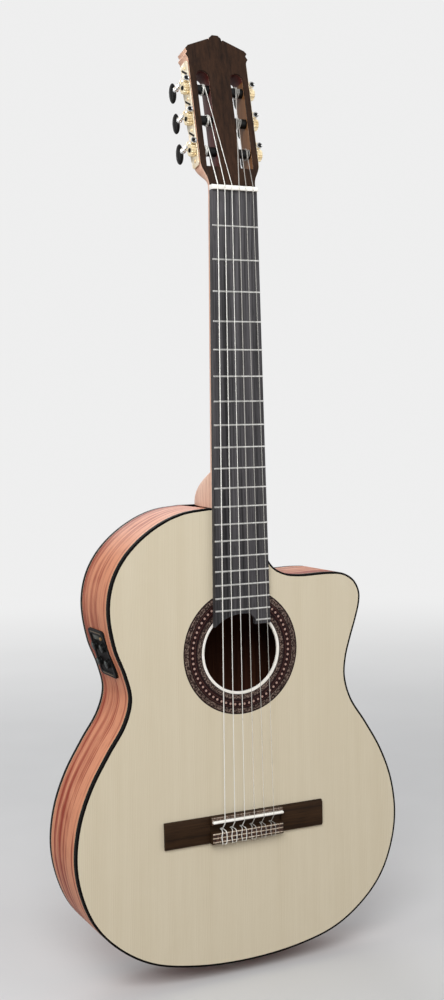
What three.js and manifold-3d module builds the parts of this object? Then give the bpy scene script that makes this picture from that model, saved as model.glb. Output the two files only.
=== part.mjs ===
// Acoustic-electric classical guitar with one cutaway, built as its separate fitted pieces.
// Sizes are in millimetres. The origin is on the centre line at the front edge of the nut, level
// with the face of the soundboard. +Z runs up the neck, +X to the treble side, +Y to the back.
import * as THREE from 'three';
import { mergeVertices } from 'three/addons/utils/BufferGeometryUtils.js';
import Module from 'manifold-3d';

const wasm = await Module();
wasm.setup();

// Fits
const seam = 0.3; // between two fixed pieces whose facing sides are cut, curved or turned
const play = 0.3; // round a piece that turns or slides
const overrun = 3; // how far a cutting shape runs past what it cuts
const right = Math.PI / 2;

// Facets
const holeSides = 40;
const roundSides = 12;
const smallSides = 8;
const cornerSteps = 3;
const arcSteps = 12;
const crownSteps = 6; // round a fret
const slotEndSteps = 8;
const postSteps = 4; // round a bearing post
const outlineSteps = 8; // along the head's throat
const buttonSides = 12;

// Scale, fingerboard and frets
const scaleLength = 650;
const halvingFret = 12;
const fretCount = 19;
const boardHalfAtNut = 26;
const boardHalfAtLastFret = 32.1;
const boardThickness = 6;
const fretWidth = 2.2;
const fretHeight = 1;
const fretSink = 0.4;
const fretEndGap = 0.3;
const boardEndPastHole = 2; // at the middle of its hollow end
const boardEndRadius = 48;
const extensionLength = 16.5; // how far the treble corner reaches past the last full fret
const extensionEdge = 14.5; // its inner edge, out from the centre line
const extensionSlope = 5.5; // how far its slanted shoulder runs
const nutThickness = 5;
const nutRise = 0.5; // above the tops of the thickest string's slot

// Body
const bodyTopBelowFret = 1;
const bodyLength = 483.7;
const lowerHalf = 189;
const bodyDepth = 82;
const soundboardThickness = 2.6;
const backThickness = 3;
const rimThickness = 2.4;
const bindingWidth = 2.2;
const bindingHeight = 6;
const liningWidth = 6;
const liningShare = 0.17; // of the body's depth
const neckBlockLength = 58;
const neckBlockWall = 5; // how far the neck block reaches past the heel on the bass side
const tailBlockHalf = 42;
const tailBlockLength = 18;
const holeCentreBelowTop = 152;
const holeRadius = 42.5;
const holeRingWidth = 3;
const rosetteRadius = 66.5;
const rosetteThickness = 0.9;

// Outline of the body: sideways shares of lowerHalf, and shares of bodyLength below its top edge
const upperBoutShares = [
  [0.18, 0], [0.328, 0.0068], [0.455, 0.0245], [0.593, 0.059], [0.696, 0.101], [0.759, 0.149],
  [0.782, 0.207], [0.751, 0.285], [0.696, 0.342],
];
const lowerBoutShares = [
  [0.668, 0.393], [0.704, 0.444], [0.804, 0.504], [0.905, 0.571], [0.974, 0.643], [1, 0.722],
  [0.974, 0.792], [0.899, 0.862], [0.772, 0.918], [0.582, 0.965], [0.328, 0.9905],
];
// The cutaway, from the neck to the waist: shares of the way from the neck's side to lowerHalf
const cutawayShares = [
  [0, 0.065], [0, 0.096], [0.018, 0.116], [0.066, 0.137], [0.148, 0.151], [0.261, 0.1565],
  [0.489, 0.156], [0.602, 0.1605], [0.6875, 0.178], [0.7285, 0.204], [0.7285, 0.228],
  [0.7, 0.263], [0.653, 0.308], [0.615, 0.351],
];
const stepsPerSpan = 2;

// Braces, as drops below the body's top edge
const upperBarDrop = 92;
const lowerBarDrop = 219;
const barWidth = 7;
const barHeight = 15;
const barEndShare = 0.35;
const barScoopShare = 0.12;
const fanCount = 5;
const fanLength = 172;
const fanWidth = 5;
const fanHeight = 7;
const fanSpread = 22;
const fanSplay = THREE.MathUtils.degToRad(5.5);
const backBarDrops = { back_bar_upper: 104, back_bar_middle: 215, back_bar_lower: 350 };

// Neck, heel and head
const neckDepthAtNut = 15.5;
const neckDepthAtHeel = 18;
const heelLength = 37; // from the body up to where the shaft starts to deepen
const heelPastBack = 6; // how far past the back the heel would reach if its cap didn't end it
const heelCapThickness = 2;
const heelRoundness = 2.1;
const heelSquareness = 0.9;
const heelTaper = 0.34;
const heelFlare = 0.75;
const heelShares = [0, 0.02, 0.06, 0.12, 0.2, 0.3, 0.42, 0.56, 0.75, 1];
const sectionSteps = 16;
const headTilt = THREE.MathUtils.degToRad(12.5);
const faceRise = 2.5; // of the head's face above the soundboard's level, where the head starts
const faceThickness = 2;
const headThickness = 22;
const headLength = 165.5;
const headHalf = 33.2;
const headThroat = 27;
const throatSquareness = 9; // gained from the round neck up to the square head
const throatSteps = 5;
const slotInner = 12;
const slotOuter = 27;
const slotStart = 19.5;
const slotEnd = 124.5;
// The head's ears and crown: shares of headHalf and of headLength
const earShares = [[1, 0.828], [1.025, 0.843], [1.075, 0.857], [1.008, 0.878], [1.062, 0.897]];
const crownShares = [[0.985, 0.914], [0.27, 0.972], [0.213, 0.966], [0.2, 0.982], [0.1, 1]];

// Tuning machines
const machineCount = 3;
const firstRoller = 38.5;
const rollerPitch = 34;
const rollerDepth = 8; // of the roller's axis behind the face
const rollerRadius = 5;
const rollerSeat = 8; // how deep its inner end sits in the middle of the head
const axleRadius = 2.4;
const plateThickness = 1.4;
const plateFront = 2.5;
const plateBack = 20;
const plateStart = 21.5;
const plateEnd = 136;
const plateWaist = 2.2;
const gearTeeth = 14;
const gearRadius = 6.2;
const toothDepth = 0.9;
const gearThickness = 5.6;
const gearScrewHeight = 1;
const wormRadius = 2.2;
const wormRoot = 1.5;
const wormThreads = 3;
const wormPitch = 2;
const shaftRadius = 1.4;
const postWidth = 6.4;
const postThickness = 2;
const postGap = 0.6;
const collarRadius = 3.2;
const collarThickness = 1.6;
const capRadius = 3.2; // of the head on the worm's front end
const capThickness = 1.2;
const buttonStart = 31;
const buttonLength = 14.5;
const buttonHalf = 11.2; // across the shaft
const buttonFlat = 0.3; // share of its width
const plateScrewRadius = 1.7;
const plateScrewHeight = 0.8;

// Strings, from the sixth (bass) to the first: diameter, roller counted from the nut, and where
// its first turn lies, as a share of the slot's width from its inner side
const strings = [
  { name: 'string_6', diameter: 1.1, roller: 0, coilShare: 0.667 },
  { name: 'string_5', diameter: 0.9, roller: 1, coilShare: 0.267 },
  { name: 'string_4', diameter: 0.76, roller: 2, coilShare: 0.373 },
  { name: 'string_3', diameter: 1.02, roller: 2, coilShare: 0.413 },
  { name: 'string_2', diameter: 0.82, roller: 1, coilShare: 0.3 },
  { name: 'string_1', diameter: 0.72, roller: 0, coilShare: 0.667 },
];
const nutSpacing = 8.1;
const saddleSpacing = 11.5;
const actionAtNut = 0.9;
const stringSides = 6;
const coilSteps = 20;
const coilTurns = 2;
const coilGap = 0.55; // between one turn and the next
const tailLift = 1.3;
const tailSteps = 4;
const minimumTurnGap = 0.4;
const tieSpread = 2.6; // of a tie's strands to each side of its string's hole

// Bridge, saddle and tie block
const bridgeHalf = 93;
const bridgeLength = 28.3;
const bridgeAhead = 5; // of the saddle's middle
const wingHeight = 4;
const wingEdge = 2.6;
const tieHalf = 42;
const saddleRidgeHeight = 8.2;
const saddleRidgeLength = 9.5;
const valleyHeight = 2.2;
const tieBlockLength = 12.5;
const tieBlockHeight = 8.6;
const tieTrimThickness = 0.9;
const tieTrimInset = 0.8;
const saddleThickness = 2.6;
const saddleTop = 11.6;
const saddleSlotDepth = 5.4;
const saddleHalf = 41.2;
const pickupThickness = 0.9;
const stringHoleRadius = 1.1;
const stringHoleRise = 4.6;
const bridgeSetback = 2.8; // of the saddle past the scale length
const tieSteps = 21;
const tieLift = 0.35;

// Control panel in the bass rim, and its battery
const panelDrop = 146.5; // of its middle below the body's top edge
const panelBackShare = 0.512; // of the body's depth, from the soundboard's face to its middle
const bezelLength = 52;
const bezelShare = 0.5366; // its width as a share of the body's depth
const bezelMargin = 3.4;
const bezelProud = 2.6;
const bezelWall = 1.6;
const skirtDepth = 8;
const cornerRadius = 5;
const panelRecess = 0.8;
const panelThickness = 2.4;
const controlBoxDepth = 22;
const controlBoxMargin = 2.5;
const knobRadius = 4.7;
const knobHeight = 3.6;
const knobRibs = 12;
const knobRibDepth = 0.35;
const knobStemRadius = 2;
const knobStemLength = 5;
// Places on the panel: shares of the bezel's length and width from its middle
const knobShares = {
  knob_volume: [0.15, -0.255], knob_bass: [0.15, 0.255],
  knob_middle: [-0.19, -0.255], knob_treble: [-0.19, 0.255],
};
const pushShares = [0.33, -0.2386];
const windowShares = [0.324, 0.1];
const pushRadius = 1.9;
const pushProud = 1.6;
const pushTravel = 0.8;
const pushStem = 3.4;
const windowLength = 5;
const windowSpan = 0.44; // its width as a share of the bezel's
const windowThickness = 0.8;
const batteryLength = 46.5;
const batteryWidth = 26.5;
const batteryThickness = 17.5;
const batteryTerminalRadius = 3.6;
const batteryTerminalHeight = 2;
const clipWall = 1;
const clipShare = 0.55;
const batteryDrop = 150;
const batteryAcross = -62;

// End pin with its jack
const pinFlangeRadius = 9.5;
const pinFlangeThickness = 2.4;
const pinWaistRadius = 5.6;
const pinLength = 14;
const pinEndRadius = 7.4;
const pinEndThickness = 3.6;
const jackBarrelRadius = 6;
const jackBarrelLength = 32;
const jackBore = 3.25;
const jackNutRadius = 8;
const jackNutThickness = 2.5;

// Sizes that follow from the ones above
const fretAt = (fret) => -scaleLength * (1 - 2 ** (-fret / halvingFret));
const boardSlope = (boardHalfAtLastFret - boardHalfAtNut) / -fretAt(fretCount);
const boardHalf = (z) => boardHalfAtNut - boardSlope * z;
const bodyTop = fretAt(halvingFret) - bodyTopBelowFret;
const bodyTail = bodyTop - bodyLength;
const neckSide = boardHalf(bodyTop);
const holeZ = bodyTop - holeCentreBelowTop;
const boardInset = bindingWidth + seam;
const fretTop = boardThickness + fretHeight;
const saddleZ = -scaleLength - bridgeSetback;
const bridgeTop = saddleZ + bridgeAhead;
const bridgeTail = bridgeTop - bridgeLength;
const cavityBack = bodyDepth - backThickness;
const liningHeight = liningShare * bodyDepth;
const heelReach = bodyDepth + heelPastBack;
const panelDepthAt = panelBackShare * bodyDepth;
const bezelWidth = bezelShare * bodyDepth;
const headZ = nutThickness + seam + faceRise * Math.tan(headTilt);
const coreFront = faceThickness + seam;
const plateInner = headHalf + seam;
const plateOuter = plateInner + plateThickness;
const gearInner = plateOuter + play;
const gearMiddle = gearInner + gearThickness / 2;
const wormRise = gearRadius + wormRadius + play;

// Materials
function finish(color, roughness, metalness) {
  return new THREE.MeshStandardMaterial({ color, roughness, metalness });
}
const spruce = finish(0xd9d0b8, 0.35, 0);
const mahogany = finish(0xb4694c, 0.35, 0);
const rosewood = finish(0x3b2219, 0.5, 0);
const ebony = finish(0x262425, 0.5, 0);
const maple = finish(0xcbb68f, 0.6, 0);
const blackTrim = finish(0x141011, 0.4, 0);
const bone = finish(0xf1efe6, 0.4, 0);
const mosaic = finish(0x4a2420, 0.45, 0);
const silver = finish(0xc9c9c6, 0.3, 1);
const brass = finish(0xd8bd84, 0.3, 1);
const steel = finish(0xb9bbbd, 0.3, 1);
const nylon = finish(0xe4e1da, 0.25, 0);
const wound = finish(0xc4c3c0, 0.35, 0.9);
const plastic = finish(0x17181a, 0.45, 0);
const glass = finish(0x30383a, 0.1, 0);
const buttonBlack = finish(0x1d1a1b, 0.25, 0);

// Makes a geometry one indexed body whose faces point out
function closed(geometry) {
  const bare = geometry.clone();
  bare.deleteAttribute('normal');
  bare.deleteAttribute('uv');
  const merged = mergeVertices(bare);
  const corners = merged.getAttribute('position');
  const a = new THREE.Vector3();
  const b = new THREE.Vector3();
  const c = new THREE.Vector3();
  const faces = [];
  let volume = 0;
  for (let i = 0; i < merged.index.count; i += 3) {
    const face = [merged.index.getX(i), merged.index.getX(i + 1), merged.index.getX(i + 2)];
    const flat = face[0] === face[1] || face[1] === face[2] || face[2] === face[0];
    if (!flat) {
      a.fromBufferAttribute(corners, face[0]);
      b.fromBufferAttribute(corners, face[1]);
      c.fromBufferAttribute(corners, face[2]);
      volume += a.dot(b.cross(c));
      faces.push(face);
    }
  }
  const turned = volume < 0;
  merged.setIndex(faces.flatMap((face) => (turned ? [face[0], face[2], face[1]] : face)));
  return merged;
}

function toSolid(geometry) {
  const body = closed(geometry);
  return new wasm.Manifold(new wasm.Mesh({
    numProp: 3,
    vertProperties: new Float32Array(body.getAttribute('position').array),
    triVerts: new Uint32Array(body.index.array),
  }));
}

function fromSolid(body) {
  const mesh = body.getMesh();
  const geometry = new THREE.BufferGeometry();
  geometry.setAttribute('position', new THREE.BufferAttribute(mesh.vertProperties, 3));
  geometry.setIndex(new THREE.BufferAttribute(mesh.triVerts, 1));
  return geometry;
}

function joined(...geometries) {
  return fromSolid(geometries.map(toSolid).reduce((sum, next) => sum.add(next)));
}

function cut(geometry, ...tools) {
  return fromSolid(tools.map(toSolid).reduce((rest, tool) => rest.subtract(tool), toSolid(geometry)));
}

function common(geometry, other) {
  return fromSolid(toSolid(geometry).intersect(toSolid(other)));
}

// Basic forms
function block(x, y, z) {
  const geometry = new THREE.BoxGeometry(x[1] - x[0], y[1] - y[0], z[1] - z[0]);
  return geometry.translate((x[0] + x[1]) / 2, (y[0] + y[1]) / 2, (z[0] + z[1]) / 2);
}

// A flat plate: an outline across X and Z, from its front to its back along Y
function plate(outline, front, back) {
  const shape = new THREE.Shape(outline);
  const geometry = new THREE.ExtrudeGeometry(shape, { depth: back - front, bevelEnabled: false });
  return geometry.rotateX(right).translate(0, back, 0);
}

function pierced(outline, front, back, holes) {
  const through = holes.map((hole) => plate(hole, front - overrun, back + overrun));
  return cut(plate(outline, front, back), ...through);
}

function circle(centreX, centreZ, radius, sides) {
  return Array.from({ length: sides }, (_, i) => {
    const angle = (2 * Math.PI * i) / sides;
    return new THREE.Vector2(centreX + radius * Math.cos(angle), centreZ + radius * Math.sin(angle));
  });
}

function oblong(length, width, radius, steps) {
  const corners = [[1, 1], [-1, 1], [-1, -1], [1, -1]];
  return corners.flatMap(([across, along], i) => Array.from({ length: steps + 1 }, (_, k) => {
    const angle = right * (i + k / steps);
    return new THREE.Vector2(
      across * (width / 2 - radius) + radius * Math.cos(angle),
      along * (length / 2 - radius) + radius * Math.sin(angle),
    );
  }));
}

// A piece turned round the X axis: pairs of place along X and radius
function turnedX(profile, sides) {
  const points = profile.map(([x, radius]) => new THREE.Vector2(radius, x));
  return closed(new THREE.LatheGeometry(points, sides)).rotateZ(-right);
}

function turnedY(profile, sides) {
  const points = profile.map(([y, radius]) => new THREE.Vector2(radius, y));
  return closed(new THREE.LatheGeometry(points, sides));
}

function turnedZ(profile, sides) {
  return turnedY(profile, sides).rotateX(right);
}

function rodX(from, to, radius, sides) {
  return turnedX([[from, 0], [from, radius], [to, radius], [to, 0]], sides);
}

function rodZ(from, to, radius, sides) {
  return turnedZ([[from, 0], [from, radius], [to, radius], [to, 0]], sides);
}

// A bar of one section: pairs of X and Y along Z, or pairs of Z and Y along X
function alongZ(section, from, to) {
  const shape = new THREE.Shape(section.map(([x, y]) => new THREE.Vector2(x, y)));
  const geometry = new THREE.ExtrudeGeometry(shape, { depth: to - from, bevelEnabled: false });
  return geometry.translate(0, 0, from);
}

function alongX(section, from, to) {
  return alongZ(section.map(([z, y]) => [-z, y]), from, to).rotateY(right);
}

// Joins rings of equal size into a closed skin, in a loop or with flat ends
function skin(rings, loop) {
  const size = rings[0].length;
  const places = rings.flat().flatMap((point) => [point.x, point.y, point.z]);
  const faces = [];
  const spans = loop ? rings.length : rings.length - 1;
  for (let i = 0; i < spans; i += 1) {
    const here = i * size;
    const next = ((i + 1) % rings.length) * size;
    for (let j = 0; j < size; j += 1) {
      const k = (j + 1) % size;
      faces.push(here + j, next + j, next + k, here + j, next + k, here + k);
    }
  }
  if (!loop) {
    const last = (rings.length - 1) * size;
    for (let j = 1; j < size - 1; j += 1) {
      faces.push(0, j, j + 1, last, last + j + 1, last + j);
    }
  }
  const geometry = new THREE.BufferGeometry();
  geometry.setAttribute('position', new THREE.Float32BufferAttribute(places, 3));
  geometry.setIndex(faces);
  return closed(geometry);
}

// A round tube through a list of points, its section carried along without twist
function tube(points, radius, sides) {
  const tangents = points.map((point, i) => {
    const ahead = points[Math.min(i + 1, points.length - 1)];
    const behind = points[Math.max(i - 1, 0)];
    return ahead.clone().sub(behind).normalize();
  });
  const normal = new THREE.Vector3(1, 0, 0);
  const rings = points.map((point, i) => {
    normal.addScaledVector(tangents[i], -normal.dot(tangents[i])).normalize();
    const other = tangents[i].clone().cross(normal);
    return Array.from({ length: sides }, (_, k) => {
      const angle = (2 * Math.PI * k) / sides;
      return point.clone()
        .addScaledVector(normal, radius * Math.cos(angle))
        .addScaledVector(other, radius * Math.sin(angle));
    });
  });
  return skin(rings, false);
}

const pieces = new THREE.Group();
const head = new THREE.Group();
head.position.set(0, -faceRise, headZ);
head.rotation.x = -headTilt;
pieces.add(head);

function add(parent, name, geometry, material) {
  const mesh = new THREE.Mesh(closed(geometry), material);
  mesh.name = name;
  parent.add(mesh);
  return mesh;
}

// The outline of the body, anticlockwise seen with X to the right and Z up
function bodyPoint(x, share) {
  return new THREE.Vector3(x, bodyTop - share * bodyLength, 0);
}

function makeOutline() {
  const lower = lowerBoutShares.map(([across, down]) => [across * lowerHalf, down]);
  const upper = upperBoutShares.map(([across, down]) => [across * lowerHalf, down]);
  const cutaway = cutawayShares.map(([across, down]) => [
    neckSide + across * (lowerHalf - neckSide), down,
  ]);
  const bass = upper.concat(lower).map(([x, down]) => bodyPoint(-x, down));
  const treble = cutaway.concat(lower).map(([x, down]) => bodyPoint(x, down)).reverse();
  const control = [...bass, bodyPoint(0, 1), ...treble];
  const curve = new THREE.CatmullRomCurve3(control, false, 'centripetal');
  const points = curve.getPoints((control.length - 1) * stepsPerSpan);
  points.push(bodyPoint(neckSide, 0));
  return points.map((point) => new THREE.Vector2(point.x, point.y));
}

const outline = makeOutline();

function inset(distance) {
  return outline.map((point, i) => {
    const before = outline[(i + outline.length - 1) % outline.length];
    const after = outline[(i + 1) % outline.length];
    const arriving = point.clone().sub(before).normalize();
    const leaving = after.clone().sub(point).normalize();
    const inwards = new THREE.Vector2(-arriving.y - leaving.y, arriving.x + leaving.x).normalize();
    const reach = distance / (inwards.x * -arriving.y + inwards.y * arriving.x);
    return point.clone().addScaledVector(inwards, reach);
  });
}

// A strip that follows the outline all round: its section is pairs of inset and depth
function strip(section) {
  const tracks = section.map(([distance]) => inset(distance));
  const rings = outline.map((_, i) => section.map(([, y], j) => (
    new THREE.Vector3(tracks[j][i].x, y, tracks[j][i].y)
  )));
  return skin(rings, true);
}

// Where the outline, drawn in by a distance, crosses a height on one side
function edgeAt(z, side, distance) {
  const track = inset(distance);
  const crossings = track.map((point, i) => {
    const next = track[(i + 1) % track.length];
    const spans = (point.y - z) * (next.y - z) <= 0 && point.y !== next.y;
    return spans ? point.x + ((next.x - point.x) * (z - point.y)) / (next.y - point.y) : 0;
  });
  return Math.max(...crossings.map((x) => x * side)) * side;
}

// Soundboard with the sound hole, its white edge ring and the rosette in its channel
function ring(inner, outer, front, back) {
  const profile = [[front, inner], [back, inner], [back, outer], [front, outer], [front, inner]];
  return turnedY(profile, holeSides).translate(0, 0, holeZ);
}

const ringOuter = holeRadius + holeRingWidth;
const boardHole = circle(0, holeZ, ringOuter + seam, holeSides);
const rosetteChannel = ring(holeRadius, rosetteRadius, -overrun, rosetteThickness + seam);
add(pieces, 'soundboard', cut(
  pierced(inset(boardInset), 0, soundboardThickness, [boardHole]),
  rosetteChannel,
), spruce);
add(pieces, 'soundhole_ring', ring(holeRadius, ringOuter, 0, soundboardThickness), bone);
add(pieces, 'rosette', ring(ringOuter + seam, rosetteRadius - seam, 0, rosetteThickness), mosaic);
add(pieces, 'back_plate', plate(inset(boardInset), cavityBack, bodyDepth), mahogany);

// Bindings, linings and rims
function bindingSection(face, inwards) {
  return [
    [0, face], [bindingWidth, face],
    [bindingWidth, face + inwards * bindingHeight], [0, face + inwards * bindingHeight],
  ];
}
add(pieces, 'top_binding', strip(bindingSection(0, 1)), blackTrim);
add(pieces, 'back_binding', strip(bindingSection(bodyDepth, -1)), blackTrim);

const neckBlockBass = -(boardHalf(bodyTop) + neckBlockWall);
const neckBlockTail = bodyTop - neckBlockLength;

// A lining's three-cornered section, or the same section grown enough to clear it
function liningSection(face, inwards, grow) {
  const steepness = liningHeight / liningWidth;
  const height = liningHeight + grow * (1 + 2 * steepness);
  return [
    [boardInset - grow, face - inwards * grow],
    [boardInset + liningWidth + 2 * grow, face - inwards * grow],
    [boardInset - grow, face + inwards * height],
  ];
}
const neckBlockSpace = block(
  [neckBlockBass - seam, neckSide + seam],
  [0, bodyDepth],
  [neckBlockTail - seam, bodyTop + seam],
);
const frontLining = strip(liningSection(soundboardThickness, 1, 0));
const backLining = strip(liningSection(cavityBack, -1, 0));
add(pieces, 'front_lining', cut(frontLining, neckBlockSpace), maple);
add(pieces, 'back_lining', cut(backLining, neckBlockSpace), maple);

const rimFront = bindingHeight + seam;
const rimBack = bodyDepth - bindingHeight - seam;
const rim = strip([[0, rimFront], [rimThickness, rimFront], [rimThickness, rimBack], [0, rimBack]]);
const sideways = [-lowerHalf - overrun, lowerHalf + overrun];
const lengthways = [bodyTail - overrun, bodyTop + overrun];
const throughDepth = [-overrun, bodyDepth + overrun];
const bassHalf = block([sideways[0], -seam / 2], throughDepth, lengthways);
const trebleHalf = block([seam / 2, sideways[1]], throughDepth, lengthways);

// The control panel's own space: its middle and its slope are taken from the rim that carries it
const panelZ = bodyTop - panelDrop;
const panelEnds = [panelZ + bezelLength / 2, panelZ - bezelLength / 2];
const panelEdges = panelEnds.map((z) => edgeAt(z, -1, 0));
const panel = new THREE.Group();
panel.position.set((panelEdges[0] + panelEdges[1]) / 2, panelDepthAt, panelZ);
panel.rotation.y = Math.atan2(panelEdges[0] - panelEdges[1], panelEnds[0] - panelEnds[1]);
panel.updateMatrix();
pieces.add(panel);
const intoRim = (geometry) => geometry.clone().applyMatrix4(panel.matrix);
const outOfRim = (geometry) => geometry.clone().applyMatrix4(panel.matrix.clone().invert());

// In the panel's frame -X points out of the rim, Y to the back and Z up the rim
function panelPlate(length, width, radius, outer, inner) {
  return plate(oblong(length, width, radius, cornerSteps), outer, inner).rotateZ(-right);
}
const skirtLength = bezelLength - 2 * bezelMargin;
const skirtWidth = bezelWidth - 2 * bezelMargin;
const skirtRadius = cornerRadius - bezelMargin / 2;
const rimOpening = panelPlate(
  skirtLength + 2 * seam, skirtWidth + 2 * seam, skirtRadius + seam,
  -bezelProud - overrun, skirtDepth + overrun,
);

// The hole for the end pin runs through the rims and the tail block
const pinMiddle = bodyDepth / 2;
const pinHole = rodZ(-pinLength, jackBarrelLength, jackBarrelRadius + seam, roundSides)
  .translate(0, pinMiddle, bodyTail);
add(pieces, 'rim_bass', cut(common(rim, bassHalf), intoRim(rimOpening), pinHole), mahogany);
add(pieces, 'rim_treble', cut(common(rim, trebleHalf), pinHole), mahogany);

// Blocks at the neck and at the tail
const cavity = plate(inset(boardInset), soundboardThickness, cavityBack);
const neckBlock = common(cavity, block([neckBlockBass, neckSide], throughDepth, [neckBlockTail, bodyTop]));
add(pieces, 'neck_block', neckBlock, maple);
const tailBlockRoom = block(
  [-tailBlockHalf, tailBlockHalf], throughDepth,
  [bodyTail, bodyTail + boardInset + tailBlockLength],
);
add(pieces, 'tail_block', cut(
  common(cavity, tailBlockRoom),
  strip(liningSection(soundboardThickness, 1, seam)),
  strip(liningSection(cavityBack, -1, seam)),
  pinHole,
), maple);

// Braces: each crosses from lining to lining and thins towards its ends
function crossBar(drop, face, inwards) {
  const middle = bodyTop - drop;
  const heights = [middle - barWidth / 2, middle + barWidth / 2];
  const reach = boardInset + liningWidth + seam;
  const from = Math.max(...heights.map((z) => edgeAt(z, -1, reach)));
  const to = Math.min(...heights.map((z) => edgeAt(z, 1, reach)));
  const scoop = (to - from) * barScoopShare;
  const end = face + inwards * barHeight * barEndShare;
  const crest = face + inwards * barHeight;
  const section = [
    [from, face], [to, face], [to, end], [to - scoop, crest], [from + scoop, crest], [from, end],
  ];
  return alongZ(section, heights[0], heights[1]);
}

function fanBrace(i) {
  const side = i - (fanCount - 1) / 2;
  const half = fanWidth / 2;
  const shoulder = fanHeight / 2;
  const section = [[-half, 0], [half, 0], [half, shoulder], [0, fanHeight], [-half, shoulder]];
  return alongZ(section, -fanLength, 0)
    .rotateY(-side * fanSplay)
    .translate(side * fanSpread, soundboardThickness, bodyTop - lowerBarDrop);
}
add(pieces, 'harmonic_bar', crossBar(upperBarDrop, soundboardThickness, 1), spruce);
const fans = Array.from({ length: fanCount }, (_, i) => fanBrace(i));
add(pieces, 'fan_bracing', joined(crossBar(lowerBarDrop, soundboardThickness, 1), ...fans), spruce);
Object.entries(backBarDrops).forEach(([name, drop]) => {
  add(pieces, name, crossBar(drop, cavityBack, -1), mahogany);
});

// Neck and heel: one loft that deepens and squares off towards the body
const heelStart = bodyTop + heelLength;
const heelEnd = bodyTop + seam;
const heelCapFront = bodyDepth - heelCapThickness;

// The neck's round back as shares of its half width and depth: the higher the power, the squarer
function roundSection(power) {
  return Array.from({ length: sectionSteps + 1 }, (_, k) => {
    const angle = (Math.PI * k) / sectionSteps;
    const spread = Math.sign(Math.cos(angle)) * Math.abs(Math.cos(angle)) ** (2 / power);
    const rise = k === sectionSteps ? 0 : Math.abs(Math.sin(angle)) ** (2 / power);
    return { spread, rise };
  });
}

function neckSection(z) {
  const share = THREE.MathUtils.clamp((heelStart - z) / (heelStart - heelEnd), 0, 1);
  const swell = (1 - (1 - share) ** 2) ** heelFlare;
  const shaft = neckDepthAtNut + ((neckDepthAtHeel - neckDepthAtNut) * z) / heelStart;
  const depth = shaft + (heelReach - shaft) * swell;
  return roundSection(heelRoundness + heelSquareness * share).map(({ spread, rise }) => {
    const width = boardHalf(z) * (1 - heelTaper * share * rise);
    return new THREE.Vector3(-width * spread, depth * rise, z);
  });
}
const heelPlaces = heelShares.map((share) => heelStart + (heelEnd - heelStart) * share);
const neckLoft = skin([headZ + overrun, ...heelPlaces].map(neckSection), false);
const deep = heelReach + overrun;
const wide = [-2 * neckSide, 2 * neckSide];
head.updateMatrix();
const headSpace = block(wide, [-deep, deep], [-seam, deep]).applyMatrix4(head.matrix);
const alongHeel = [bodyTop, heelStart];
const pastHeel = block(wide, [heelCapFront - seam, deep], alongHeel);
const capSlice = block(wide, [heelCapFront, bodyDepth], alongHeel);
add(pieces, 'neck', cut(neckLoft, headSpace, pastHeel), mahogany);
add(pieces, 'heel_cap', common(neckLoft, capSlice), rosewood);

// Fingerboard with its frets, its end hollowed to follow the sound hole
const extensionTail = fretAt(fretCount) - extensionLength;
const endCentre = holeZ + holeRadius - boardEndPastHole - boardEndRadius;

function boardOutline() {
  const bassAngle = Math.PI - Math.acos(boardHalf(extensionTail) / boardEndRadius);
  const shoulderX = extensionEdge - extensionSlope;
  const trebleAngle = Math.acos(shoulderX / boardEndRadius);
  const arc = Array.from({ length: arcSteps + 1 }, (_, k) => {
    const angle = trebleAngle + ((bassAngle - trebleAngle) * k) / arcSteps;
    return [boardEndRadius * Math.cos(angle), endCentre + boardEndRadius * Math.sin(angle)];
  });
  const corners = [
    [-boardHalf(0), 0], [boardHalf(0), 0],
    [boardHalf(extensionTail), extensionTail],
    [extensionEdge, extensionTail],
    [extensionEdge, arc[0][1] - extensionSlope],
    ...arc,
  ];
  return corners.reverse().map(([x, z]) => new THREE.Vector2(x, z));
}

function fret(z, from, to) {
  const half = fretWidth / 2;
  const crown = Array.from({ length: crownSteps + 1 }, (_, k) => {
    const angle = (Math.PI * k) / crownSteps;
    return [z - half * Math.cos(angle), -boardThickness - fretHeight * Math.sin(angle)];
  });
  const foot = [[z + half, fretSink - boardThickness], [z - half, fretSink - boardThickness]];
  return alongX([...crown, ...foot], from, to);
}
const frets = Array.from({ length: fretCount + 1 }, (_, i) => {
  const z = fretAt(i + 1);
  const end = boardHalf(z) - fretEndGap;
  return fret(z, i < fretCount ? -end : extensionEdge + fretEndGap, end);
});
add(pieces, 'fingerboard', joined(plate(boardOutline(), -boardThickness, 0), ...frets), ebony);

// Places of the strings at the nut, at the saddle and in their slots
strings.forEach((string, i) => {
  const middle = i - (strings.length - 1) / 2;
  string.radius = string.diameter / 2;
  string.side = Math.sign(middle);
  string.nutX = middle * nutSpacing;
  string.saddleX = middle * saddleSpacing;
  string.nutY = -(fretTop + actionAtNut + string.radius);
  string.saddleY = -(saddleTop + seam + string.radius);
});
const nutTop = fretTop + actionAtNut + strings[0].radius + nutRise;
const nutSlots = strings.map(({ nutX, radius }) => block(
  [nutX - radius - seam, nutX + radius + seam],
  [-nutTop - overrun, seam - fretTop - actionAtNut],
  [-overrun, nutThickness + overrun],
));
const nutHalf = boardHalf(0);
const nutBlank = alongX(
  [[0, 0], [nutThickness, 0], [nutThickness, -fretTop], [nutThickness / 2, -nutTop], [0, -nutTop]],
  -nutHalf, nutHalf,
);
add(pieces, 'nut', cut(nutBlank, ...nutSlots), bone);

// Head: a core and its face, both with the two slots
const throatCurve = new THREE.CubicBezierCurve(
  new THREE.Vector2(boardHalf(0), 0),
  new THREE.Vector2(boardHalf(0), headThroat / 2),
  new THREE.Vector2(headHalf, headThroat / 2),
  new THREE.Vector2(headHalf, headThroat),
);

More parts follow.
